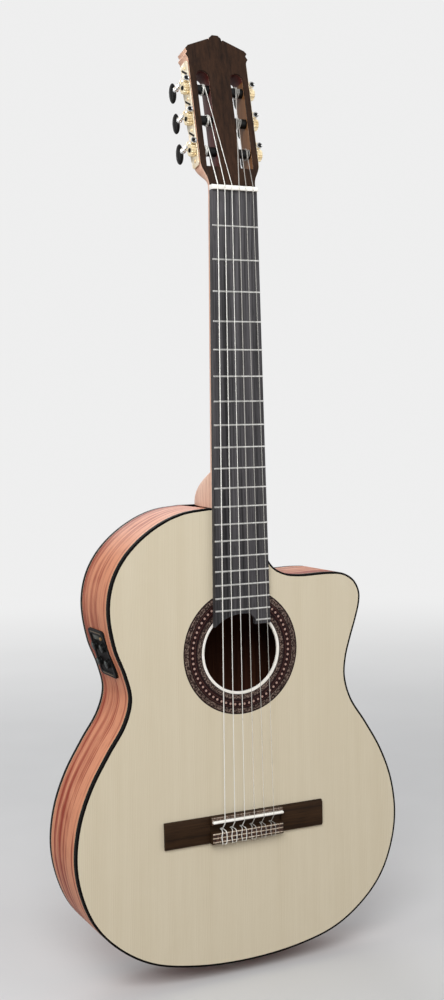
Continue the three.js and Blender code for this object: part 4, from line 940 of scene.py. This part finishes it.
middle_index = min(range(len(OUTLINE)), key=lambda i: (abs(OUTLINE[i].x) > 0.01, OUTLINE[i].y))
bass_rim = rim(0, middle_index)
panel_opening(bass_rim)
for word, bm in (("bass", bass_rim), ("treble", rim(middle_index, len(OUTLINE) - 1))):
    piece(f"side_{word}", bm, [RIM_MAHOGANY, LIGHT_LINE, INNER_WOOD_IN_PAINTED_SHADE], [f"rim_{word}"], crease=45)


# Neck and heel
def rounded_section(width, top, depth, power, z, taper=0.0):
    """The round side of a section, from edge to edge."""
    ring = []
    for k in range(SECTION_STEPS + 1):
        angle = pi * k / SECTION_STEPS
        rise = abs(sin(angle)) ** power if 0 < k < SECTION_STEPS else 0
        spread = copysign(abs(cos(angle)) ** power, cos(angle))
        ring.append((-width * (1 - taper * rise) * spread, top + depth * rise, z))
    return ring


def neck_ring(z):
    share = min(max((HEEL_START - z) / HEEL_LENGTH, 0), 1)
    swell = (1 - (1 - share) ** 2) ** 0.75
    shaft = NECK_DEPTH_AT_NUT + (NECK_DEPTH_AT_HEEL - NECK_DEPTH_AT_NUT) * z / HEEL_START
    return rounded_section(board_half(z), 0, shaft + (HEEL_REACH - shaft) * swell, 2 / (2.1 + 0.9 * share), z,
                           HEEL_TAPER * share)


def loft(rings):
    bm = bmesh.new()
    return skinned(bm, [loop(bm, ring) for ring in rings])


def neck_skin():
    steps = 28
    heel = [HEEL_START - HEEL_LENGTH * (k / steps) ** 2.2 for k in range(steps + 1)]
    return loft([neck_ring(z) for z in (HEAD_Z + 6, -60, -120, -180, -240, *heel)])


CAP_FRONT = (0, BODY_DEPTH - HEEL_CAP, 0)
neck = sliced(neck_skin(), CAP_FRONT, (0, 1, 0))
sliced(neck, HEAD.to_translation(), HEAD.to_3x3() @ Vector((0, 0, 1)))
piece("neck_shaft", neck, NECK_MAHOGANY, ["neck"], crease=40)
heel_end = sliced(sliced(neck_skin(), (0, BODY_DEPTH, 0), (0, 1, 0)), CAP_FRONT, (0, -1, 0))
piece("heel_end_cap", heel_end, ROSEWOOD, ["heel_cap"], crease=40)


# Fingerboard, frets and nut
def board_outline():
    tail_half, centre = board_half(EXTENSION_TAIL), HOLE_Z + HOLE_RADIUS - 2 - BOARD_END_RADIUS
    bass = pi - acos(tail_half / BOARD_END_RADIUS)
    treble = acos((EXTENSION_EDGE - EXTENSION_SLOPE) / BOARD_END_RADIUS)
    end = arc(0, centre, BOARD_END_RADIUS, treble, bass, 40)
    return [(-board_half(0), 0), (board_half(0), 0), (tail_half, EXTENSION_TAIL),
            (EXTENSION_EDGE, EXTENSION_TAIL), (EXTENSION_EDGE, end[0][1] - EXTENSION_SLOPE), *end]


def fret(number):
    z, half, foot = fret_at(number), FRET_WIDTH / 2, FRET_ROOT - BOARD_THICKNESS
    end = board_half(z) - FRET_INSET
    start = -end if number <= FRET_COUNT else EXTENSION_EDGE + 0.3
    crown = [(z - half * cos(pi * k / 12), -BOARD_THICKNESS - FRET_HEIGHT * sin(pi * k / 12))
             for k in range(13)]
    return softened(bar([*crown, (z + half, foot), (z - half, foot)], (start, end)), 0.25, 2, 60)


board = softened(plate(board_outline(), -BOARD_THICKNESS, 0), 0.3)
piece("fingerboard_wood", board, EBONY, ["fingerboard"])
frets = merged(*map(fret, range(1, FRET_COUNT + 2)))
piece("frets", frets, FRET_METAL, ["fingerboard"], crease=40)
piece("nut_bone", copied("nut", 0.25), BONE, ["nut"])


# Head
def throat(t):
    """Half width and place of the edge where the head widens from the nut."""
    weights = ((1 - t) ** 3, 3 * t * (1 - t) ** 2, 3 * t * t * (1 - t), t ** 3)
    widths = (board_half(0), board_half(0), HEAD_HALF, HEAD_HALF)
    places = (0, HEAD_THROAT / 2, HEAD_THROAT / 2, HEAD_THROAT)
    return tuple(sum(w * x for w, x in zip(weights, values)) for values in (widths, places))


def head_outline():
    half = [throat(k / 24) for k in range(25)]
    half += [(x * HEAD_HALF, s * HEAD_LENGTH) for x, s in EARS + CROWN]
    return half + [(-x, s) for x, s in reversed(half)]


def slot_outline(side):
    middle, radius = (SLOT_INNER + SLOT_OUTER) / 2, (SLOT_OUTER - SLOT_INNER) / 2
    points = arc(middle, SLOT_END - radius, radius, 0, pi, 24)
    return [(side * x, s) for x, s in [*points, (SLOT_INNER, SLOT_START), (SLOT_OUTER, SLOT_START)]]


def throat_ring(share):
    """The head's back where it leaves the neck: round at the nut, square where the throat ends."""
    width, place = throat(share)
    width += 0.3 * share
    top, shaft = FACE_RISE / cos(HEAD_TILT), NECK_DEPTH_AT_NUT / cos(HEAD_TILT)
    depth = shaft + (HEAD_THICKNESS + 0.3 - top - shaft) * share ** 2
    return [(width, -5, place), (-width, -5, place),
            *rounded_section(width, top, depth, 2 / (2.1 + 9 * share ** 2), place)]


slots = [slot_outline(side) for side, _ in SIDES]
core = softened(plate(head_outline(), FACE_THICKNESS, HEAD_THICKNESS, slots), 0.35, 2, 50)
rings = [[(x, y, 0) for x, y, _ in throat_ring(0)], *(throat_ring(k / 16) for k in range(1, 17))]
rings += [[(x * 1.6, y * 1.3 if y > 0 else y, z) for x, y, _ in rings[-1]]
          for z in (HEAD_THROAT + 0.02, HEAD_LENGTH + 5)]
core = carved(core, loft(rings), "INTERSECT")
bores = [moved(rod(ROLLER_INNER - CLEAR, HEAD_HALF + 3, ROLLER_RADIUS + CLEAR, 32),
               shift(y=ROLLER_DEPTH, z=s) @ mirrored(side) @ ALONG_X) for side, _ in SIDES for s in ROLLERS]
core = carved(core, merged(*bores))
# Slot walls get the darker copies of the head wood: painted shade, deeper on the bass side and at the slot
# ends.
for wall in core.faces:
    middle = wall.calc_center_median()
    across = SLOT_INNER - 0.5 < abs(middle.x) < SLOT_OUTER + 0.5
    along = SLOT_START - 0.5 < middle.z < SLOT_END + 0.5
    if across and along and abs(wall.normal.y) < 0.5 and FACE_THICKNESS < middle.y < HEAD_THICKNESS:
        wall.material_index = 1 if middle.x < 0 or middle.z > SLOT_END - 8 else 2
piece("head_wood", core, [NECK_MAHOGANY, SLOT_WALL_DEEP_PAINTED_SHADE, SLOT_WALL_PAINTED_SHADE], ["head_core"], HEAD)
veneer = softened(plate(head_outline(), 0, FACE_THICKNESS, slots), 0.25, 2, 50)
piece("head_veneer", veneer, ROSEWOOD, ["head_face"], HEAD)


# Strings
def string_wrap(leave, side, radius, roller, first):
    """The string's turns round its roller, with its end tucked under: points in the head's space."""
    along, off = leave.z - ROLLERS[roller], leave.y - ROLLER_DEPTH
    ring = ROLLER_RADIUS + CLEAR + radius
    start = atan2(off, along) % TURN - TURN + acos(ring / hypot(along, off))
    steps = COIL_TURNS * COIL_STEPS
    lift_from = steps - COIL_STEPS / 4

    def at(x, distance, angle):
        return Vector((x, ROLLER_DEPTH + distance * sin(angle), ROLLERS[roller] + distance * cos(angle)))

    wrap = []
    for k in range(steps + 1):
        t = min(max((k - lift_from) / (steps - lift_from), 0), 1)
        x = first + side * (2 * radius + COIL_GAP) * k / COIL_STEPS
        wrap.append(at(x, ring + TAIL_LIFT * t * t * (3 - 2 * t), start + TURN * k / COIL_STEPS))
    last, lean = wrap[-1], pi / 24 + radius / ring
    angle = start + TURN * steps / COIL_STEPS + lean
    corner = at(last.x, (ring + TAIL_LIFT) / cos(lean), angle)
    end = at(last.x, ROLLER_RADIUS + CLEAR + 2 * radius, angle)
    wrap += [last * (1 - t) ** 2 + corner * 2 * t * (1 - t) + end * t * t
             for t in (k / 8 for k in range(1, 9))]
    return [*wrap, at(last.x, ROLLER_RADIUS, angle)]


def string_tie(x, radius):
    """The string's loop over the tie block, from the hole in it and back."""
    wide, slim, thin = TIE_SPREAD, TIE_SPREAD * 0.7, TIE_SPREAD * 0.45
    clear = TIE_CLEAR + 2 * radius
    over = -(TIE_BLOCK_HEIGHT + TIE_TRIM_HEIGHT + TIE_CLEAR + radius)
    under = -(VALLEY_HEIGHT + TIE_CLEAR + radius)
    half, low = (over + under) / 2, -STRING_HOLE_RISE
    behind, ahead, centre = BRIDGE_TAIL - clear, TIE_FRONT + clear, (TIE_FRONT + BRIDGE_TAIL) / 2
    far = behind - TIE_CLEAR
    knot = [
        (0, low, BRIDGE_TAIL), (thin / 2, low - radius, behind), (thin, half, far), (slim, over, BRIDGE_TAIL),
        (wide, over, centre), (slim, over, TIE_FRONT), (thin, half, ahead),
        (thin, under - radius, ahead + TIE_CLEAR), (0, under, ahead + radius),
        (-thin, under - radius, ahead + TIE_CLEAR), (-thin, half, ahead), (-slim, over, TIE_FRONT),
        (-wide, over, centre), (-slim, over, BRIDGE_TAIL), (-thin, half, far), (-thin, low, far),
    ]
    return curve_through([Vector((x + offset, y, z)) for offset, y, z in knot], 5)


for index, (diameter, roller, first) in enumerate(STRINGS):
    number = len(STRINGS) - index
    radius, middle = diameter / 2, index - (len(STRINGS) - 1) / 2
    side = copysign(1, middle)
    nut = Vector((middle * NUT_SPACING, -(BOARD_THICKNESS + FRET_HEIGHT + ACTION_AT_NUT + radius), 0))
    leave = Vector((nut.x, nut.y, NUT_THICKNESS + CLEAR))
    x, y = middle * SADDLE_SPACING, -(SADDLE_TOP + 0.1 + radius)
    front, back = SADDLE_Z + SADDLE_THICKNESS / 2, SADDLE_Z - SADDLE_THICKNESS / 2 - 0.1
    lead = [Vector((x, y, back)), Vector((x, -STRING_HOLE_RISE, TIE_FRONT + radius))]
    wrap = [HEAD @ point for point in string_wrap(HEAD.inverted() @ leave, side, radius, roller, first)]
    route = [*reversed(lead + string_tie(x, radius)), Vector((x, y, front)), nut, leave, *wrap]
    slot, material = ("string_wound", WOUND) if side < 0 else ("string_nylon", NYLON)
    piece(f"wire_{number}", tube(route, radius, 12), material, [f"string_{number}"], crease=80)


# Tuning machines
def toothed(radius, depth, teeth):
    """An outline with teeth cut to a depth."""
    points = []
    for i in range(teeth):
        for turn, down in TOOTH:
            angle, reach = TURN * (i + turn) / teeth, radius - depth * down
            points.append((reach * cos(angle), reach * sin(angle)))
    return points


def roller_parts(side):
    """Barrel, gear and axle with its screw, out from the middle of the head."""
    barrel = turned([(ROLLER_INNER, 0), (ROLLER_INNER, 4.4), (ROLLER_INNER + 0.6, ROLLER_RADIUS),
                     (ROLLER_END - 0.3, ROLLER_RADIUS), (ROLLER_END, 4.6), (ROLLER_END, 0)], 40)
    gear = softened(plate(toothed(GEAR_RADIUS, TOOTH_DEPTH, GEAR_TEETH), 0, GEAR_THICKNESS), 0.15, 1, 50)
    moved(gear, shift(z=GEAR_INNER) @ roll(90, "X"))
    outer = GEAR_INNER + GEAR_THICKNESS
    axle = turned([(ROLLER_END, 0), (ROLLER_END, AXLE_RADIUS), (outer, AXLE_RADIUS),
                   (outer + 0.5, AXLE_RADIUS), (outer + 1, 1.7), (outer + 1, 0)], 32)
    return [moved(part, mirrored(side) @ ALONG_X) for part in (barrel, gear, axle)]


def worm_parts():
    """Worm with its helical thread, shaft and collars, along the shaft."""
    shaft = rod(CAP_BACK, BUTTON_START + 2, SHAFT_RADIUS, 24)
    low, high = ROLLER_DEPTH - WORM_HALF, ROLLER_DEPTH + WORM_HALF
    worm = turned([(low, SHAFT_BORE), (low, WORM_CORE), (high, WORM_CORE), (high, SHAFT_BORE)], 24,
                  closed=True)
    turns = [(TURN * k / 20, low + 0.5 + 5 * k / 60) for k in range(61)]
    thread = tube([Vector((THREAD_RADIUS * cos(a), THREAD_RADIUS * sin(a), height)) for a, height in turns],
                  THREAD_HALF, 8)
    collars = [turned(profile, 32, closed=True) for profile in (
        [(21.6, SHAFT_BORE), (21.6, 2.7), (22, 3.2), (22.8, 3.2), (23.2, 2.7), (23.2, SHAFT_BORE)],
        [(27.8, SHAFT_BORE), (27.8, 2.6), (28.3, 3.2), (29.4, 3.2), (30.2, 2.3), (31, 2.6), (32.2, 2.2),
         (32.6, SHAFT_BORE)])]
    rim = turned([(-0.9, 2.5), (-1.2, 2.7), (-1.2, 3), (-1, CAP_RADIUS), (-0.2, CAP_RADIUS), (0, 3),
                  (0, SHAFT_RADIUS), (-0.5, SHAFT_RADIUS)], 40, closed=True)
    return merged(shaft, worm, thread, *collars, moved(rim, shift(z=CAP_BACK)))


def worm_cap():
    """Dark slotted screw set in the ring at the worm's front end."""
    head = turned([(-0.2, 0), (-0.2, 2.5), (-0.8, 2.5), (-1.1, 1.8), (-1.2, 0)], 32)
    return moved(carved(head, brick((-3, 3), (-0.3, 0.3), (-1.7, -0.7))), shift(z=CAP_BACK))


def button():
    """Oval button, flattened and drawn in towards its shaft."""
    bm = bmesh.new()
    bmesh.ops.create_uvsphere(bm, u_segments=40, v_segments=24, radius=1)
    for corner in bm.verts:
        x, y, height = corner.co
        wide = BUTTON_HALF * (1 - 0.28 * min(max((-height - 0.35) / 0.65, 0), 1) ** 2)
        corner.co = (x * BUTTON_FLAT * wide, y * wide, (height + 1) * BUTTON_LENGTH / 2 + BUTTON_START)
    return bm


for index, (_, roller, _) in enumerate(STRINGS):
    number = len(STRINGS) - index
    side = -1 if index < 3 else 1
    place = HEAD @ shift(y=ROLLER_DEPTH, z=ROLLERS[roller])
    barrel, gear, axle = roller_parts(side)
    body = f"roller_{number}"
    piece(f"barrel_{number}", barrel, ROLLER_BLACK, [f"roller_{number}"], place, body=body)
    piece(f"gear_{number}", gear, GOLD, place=place, body=body)
    piece(f"axle_{number}", axle, SATIN_BLACK, place=place, body=body)
    place = HEAD @ shift(side * GEAR_MIDDLE, 0, ROLLERS[roller] + WORM_RISE) @ ALONG_Y
    body = f"tuner_{number}"
    piece(f"worm_{number}", worm_parts(), CHROME, [f"tuner_{number}"], place, body=body)
    piece(f"cap_{number}", worm_cap(), ROLLER_BLACK, place=place, body=body)
    piece(f"button_{number}", button(), BUTTON_DARK, place=place, body=body)


def machine_plate():
    """A plate with its scalloped rear edge, engraved strokes and bearing posts."""
    (low, high), (front, rear), waist = PLATE_SPAN, PLATE_DEPTHS, PLATE_WAIST
    edge = [(low + waist, front), (high - waist, front), (high, front + waist), (high, rear - 2 * waist)]
    for k in range(97):
        s = high - waist - (high - low - 2 * waist) * k / 96
        swell = 0.5 + 0.5 * cos(TURN * (s - ROLLERS[0]) / ROLLER_PITCH)
        edge.append((s, rear - waist + waist * swell ** 0.8))
    edge += [(low, rear - 2 * waist), (low, front + waist)]
    strokes = [moved(brick(span(0, STROKE_DEPTH), span(0, STROKE_HALF), span(0, STROKE_HALF_WIDTH)),
                     shift(PLATE_OUTER, STROKE_MIDDLE, s - STROKE_DROP) @ roll(STROKE_SLANT, "X"))
               for s in PLATE_SCREWS[1:]]
    sheet = carved(softened(bar(edge, (PLATE_INNER, PLATE_OUTER)), 0.25, 2, 50), merged(*strokes))
    for wall in sheet.faces:
        wall.material_index = int(abs(PLATE_OUTER - STROKE_DEPTH - wall.calc_center_median().x) < 0.01)
    root = PLATE_INNER + PLATE_THICKNESS / 2
    foot = [(root, -POST_HALF), (root, POST_HALF)]
    dome = arc(GEAR_MIDDLE, 0, POST_HALF, pi / 2, -pi / 2, 16)
    bore = arc(GEAR_MIDDLE, 0, POST_BORE, 0, TURN, 24)[:-1]
    posts = [moved(softened(plate([*dome, *foot], start, start + POST_THICKNESS, [bore]), 0.2, 2, 50),
                   shift(z=s + WORM_RISE)) for s in ROLLERS for start in POST_STARTS]
    return merged(sheet, *posts)


def plate_screw(s):
    """Slotted round-head screw that holds the plate."""
    head = turned([(-0.3, 0), (-0.3, 1.7), (0.35, 1.7), (0.65, 1.3), (0.8, 0.6), (0.8, 0)], 24)
    slotted = carved(head, brick((-2, 2), (-0.22, 0.22), (0.45, 1)))
    return moved(slotted, shift(PLATE_OUTER, SCREW_LINE, s) @ ALONG_X)


for side, word in SIDES:
    piece(f"engraved_plate_{word}", machine_plate(), [ENGRAVED, DARK_FILL],
          [f"machine_plate_{word}"], HEAD @ mirrored(side))
for side, word in SIDES:
    piece(f"plate_screws_{word}", merged(*map(plate_screw, PLATE_SCREWS)), GOLD,
          place=HEAD @ mirrored(side))

# Bridge
wing = [(BRIDGE_TOP, 0), (BRIDGE_TOP, -WING_EDGE), (BRIDGE_TOP - 2 * CHAMFER, -WING_HEIGHT),
        (BRIDGE_TAIL + 2 * CHAMFER, -WING_HEIGHT), (BRIDGE_TAIL, -WING_EDGE), (BRIDGE_TAIL, 0)]
middle_part = [
    (BRIDGE_TOP, 0), (BRIDGE_TOP, CHAMFER - RIDGE_HEIGHT), (BRIDGE_TOP - CHAMFER, -RIDGE_HEIGHT),
    (RIDGE_BACK + CHAMFER, -RIDGE_HEIGHT), (RIDGE_BACK, -VALLEY_HEIGHT), (TIE_FRONT, -VALLEY_HEIGHT),
    (TIE_FRONT, -TIE_BLOCK_HEIGHT), (BRIDGE_TAIL, -TIE_BLOCK_HEIGHT), (BRIDGE_TAIL, 0)]
bridge = merged(*(softened(bar(section, ends), width, 3) for section, ends, width in (
    (middle_part, (-TIE_HALF, TIE_HALF), 0.4), (wing, (-BRIDGE_HALF, -TIE_HALF), 0.6),
    (wing, (TIE_HALF, BRIDGE_HALF), 0.6))))
bridge.normal_update()
for face in bridge.faces:
    middle = face.calc_center_median()
    ridge = middle.z > RIDGE_BACK and middle.y < -RIDGE_HEIGHT + CHAMFER and abs(middle.x) < TIE_HALF
    face.material_index = int(ridge and face.normal.y < -0.5)
piece("bridge_wood", bridge, [BRIDGE_ROSEWOOD, TIE_MOSAIC], ["bridge"])
piece("saddle_bone", copied("saddle", 0.35, 3), BONE, ["saddle"])
piece("tie_trim", copied("tie_block_trim", 0.25), TIE_MOSAIC, ["tie_block_trim"])


# Control panel
def panel_plate(length, width, radius, outer, inner, holes=()):
    """A rounded plate in the panel's space: -X points out of the rim."""
    return moved(plate(oblong(length, width, radius), outer, inner, holes), roll(-90, "Z"))


opening = oblong(OPENING_LENGTH, OPENING_WIDTH, 2.6)
flange = softened(panel_plate(BEZEL_LENGTH, BEZEL_WIDTH, 5, -BEZEL_PROUD, 2.2, [opening]), 0.7, 3, 50)
skirt = panel_plate(SKIRT_LENGTH, SKIRT_WIDTH, 3.3, 1.5, SKIRT_DEPTH, [opening])
piece("bezel_frame", merged(flange, skirt), SATIN_BLACK, ["panel_bezel"], PANEL)
line_x, line_z = (-BEZEL_PROUD - 0.12, -BEZEL_PROUD + 0.5), OPENING_LENGTH / 2 + BEZEL_LINE_OFFSET
lines = [softened(brick(line_x, span(0, BEZEL_LINE_HALF), span(z, 0.5)), 0.1, 1) for z in (line_z, -line_z)]
piece("bezel_lines", merged(*lines), BRASS_EDGE, place=PANEL)
sheet = softened(panel_plate(OPENING_LENGTH - 0.3, OPENING_WIDTH - 0.3, 2.5, PANEL_FACE,
                             PANEL_FACE + PANEL_THICKNESS), 0.15, 1, 50)
sunk = [moved(turned(KNOB_DISH, 48), shift(PANEL_FACE, y, z) @ ALONG_X) for z, y in KNOBS.values()]
at_push = shift(PANEL_FACE, PUSH_PLACE[1], PUSH_PLACE[0])
sunk.append(moved(rod(-1, 3, PUSH_RADIUS + 0.25, 32), at_push @ ALONG_X))
window_z, window_y = WINDOW_PLACE
half_z, half_y = WINDOW_HALF
sunk.append(brick((PANEL_FACE - 1, PANEL_FACE + 0.9), span(window_y, half_y + PANEL_GAP),
                  span(window_z, half_z + PANEL_GAP)))
box_y, box_z = OPENING_WIDTH / 2 - CONTROL_BOX_INSET, OPENING_LENGTH / 2 - CONTROL_BOX_INSET
box_x = (PANEL_FACE + PANEL_THICKNESS / 2, PANEL_FACE + CONTROL_BOX_DEPTH)
box = softened(brick(box_x, span(0, box_y), span(0, box_z)), 0.8)
sheet = merged(carved(sheet, merged(*sunk)), box)
piece("panel_face", sheet, PANEL_GREY, ["control_panel"], PANEL)
window = brick((PANEL_FACE + 0.1, PANEL_FACE + 0.8), span(window_y, half_y), span(window_z, half_z))
piece("display_glass", softened(window, 0.2), DISPLAY, ["display_window"], PANEL)
for name, (z, y) in KNOBS.items():
    grip = softened(plate(toothed(KNOB_RADIUS, RIB_DEPTH, KNOB_RIBS), 0, KNOB_HEIGHT), 0.3, 2, 60)
    collar = moved(turned([(0.2, 0), (0.2, 5.0), (0.6, 5.0), (0.9, 4.8), (0.9, 0)], 40), ALONG_Y)
    # The pointer on the knob top doubles as a painted glint.
    pointer_and_glint = brick((-0.35, 0.35), (KNOB_HEIGHT - 0.1, KNOB_HEIGHT + 0.06), (0.6, KNOB_RADIUS - 0.9))
    place = PANEL @ shift(PANEL_FACE - 0.3, y, z) @ roll(90, "Z")
    piece(f"{name}_grip", merged(grip, collar), KNOB_BLACK, [name], place, body=name)
    piece(f"{name}_mark", pointer_and_glint, POINTER_MARK_AND_PAINTED_GLINT, place=place, body=name)
push = turned([(-3.4, 0), (-3.4, PUSH_RADIUS), (1.2, PUSH_RADIUS), (1.6, 1.5), (1.6, 0)], 32)
piece("push_cap", push, PUSH_BRASS, ["push_button"], PANEL @ at_push @ roll(-90, "Y"),
      body="push_button")

# End pin
piece("end_pin", turned(END_PIN_PROFILE, 48, closed=True), CHROME, ["end_pin_jack"],
      shift(y=BODY_DEPTH / 2, z=BODY_TAIL))

# Solids that keep their own shape
for material, kept in (
        (LINING_WOOD, ["front_lining", "back_lining"]), (BRACE_SPRUCE, ["harmonic_bar"]),
        (BAR_MAHOGANY, ["neck_block", "tail_block", "back_bar_upper", "back_bar_middle", "back_bar_lower"]),
        (FAN_SPRUCE, ["fan_bracing"]), (PICKUP_FILM, ["saddle_pickup"]), (BATTERY_CASE, ["battery"]),
        (STEEL, ["battery_clip"])):
    for name in kept:
        nodes[name].data.materials.clear()
        nodes[name].data.materials.append(material)

# Floor, light and camera
PALE = (0.86, 0.86, 0.86, 1.0)
FLOOR_TONES = [(0.3, (0.66, 0.66, 0.66, 1.0)), (0.7, (0.7, 0.7, 0.7, 1.0))]
FLOOR_BOUNCE = (0.3, 0.26, 0.23, 1.0)
FLOOR_RADIUS = 9.0
FADE_START, FADE_END = 0.7, 3.2
SKY, SKY_STRENGTH = (0.95, 0.97, 1.0, 1.0), 0.33


def backdrop_rays(tree):
    """1 for the rays that show the backdrop, 0 for those that carry light."""
    path = put(tree, "ShaderNodeLightPath")
    through = path["Is Glossy Ray"].calc("MAXIMUM", path["Is Transmission Ray"])
    return path["Is Camera Ray"].calc("MAXIMUM", through)


floor_mesh = bmesh.new()
bmesh.ops.create_circle(floor_mesh, cap_ends=True, segments=96, radius=FLOOR_RADIUS)
bmesh.ops.translate(floor_mesh, verts=floor_mesh.verts, vec=(0, 0, FLOOR_HEIGHT))
floor = placed("floor", meshed("floor", floor_mesh))
floor_material, shader, vector = new_material("studio floor")
tree = vector.tree
seen = backdrop_rays(tree)
wire(shader, {"Base Color": blended(seen, FLOOR_BOUNCE, ramped(noise(vector, 3.0, 3.0), *FLOOR_TONES)),
              "Roughness": 0.9, "Specular IOR Level": 0.1})
glow = put(tree, "ShaderNodeEmission", {"Color": PALE, "Strength": 1.0})[0]
x, y, _ = split(vector)
fade = put(tree, "ShaderNodeMapRange", {0: distance_of(x, y), 1: FADE_START, 2: FADE_END},
           interpolation_type="SMOOTHSTEP")[0]
mixed = put(tree, "ShaderNodeMixShader", {0: fade * seen, 1: Value(tree, shader.outputs[0]), 2: glow})[0]
wire(tree.nodes["Material Output"], {0: mixed})
floor.data.materials.append(floor_material)

scene.world = bpy.data.worlds.new("studio")
scene.world.use_nodes = True
tree = scene.world.node_tree
tree.nodes.clear()
sky, backdrop = (put(tree, "ShaderNodeBackground", {"Color": colour, "Strength": strength})[0]
                 for colour, strength in ((SKY, SKY_STRENGTH), (PALE, 1.0)))
mixed = put(tree, "ShaderNodeMixShader", {0: backdrop_rays(tree), 1: sky, 2: backdrop})[0]
put(tree, "ShaderNodeOutputWorld", {0: mixed})

AIM = Vector((0, 0, -0.4))
for name, place, size, power in (
        ("key_light", (-1.0, -1.6, 0.9), (1.4, 1.4), 42), ("fill_light", (1.9, -1.9, 0.3), (1.8, 1.8), 13),
        ("back_light", (0.4, 2.4, 1.2), (1.8, 1.8), 26), ("side_light", (-2.4, 0.3, 0.2), (1.4, 1.8), 12)):
    light = bpy.data.lights.new(name, "AREA")
    light.shape = "RECTANGLE"
    light.size, light.size_y = size
    light.energy = power
    lamp = placed(name, light)
    lamp.location = place
    lamp.rotation_euler = (AIM - Vector(place)).to_track_quat("-Z", "Y").to_euler()

camera = bpy.data.cameras.new("camera")
camera.lens = CAMERA_LENS
scene.camera = placed("camera", camera)
right, up = Vector(CAMERA_RIGHT).normalized(), Vector(CAMERA_UP)
up = (up - right * up.dot(right)).normalized()
turn = Matrix((right, up, right.cross(up))).transposed().to_4x4()
scene.camera.matrix_world = shift(*CAMERA_PLACE) @ turn
scene.view_settings.view_transform = "Standard"
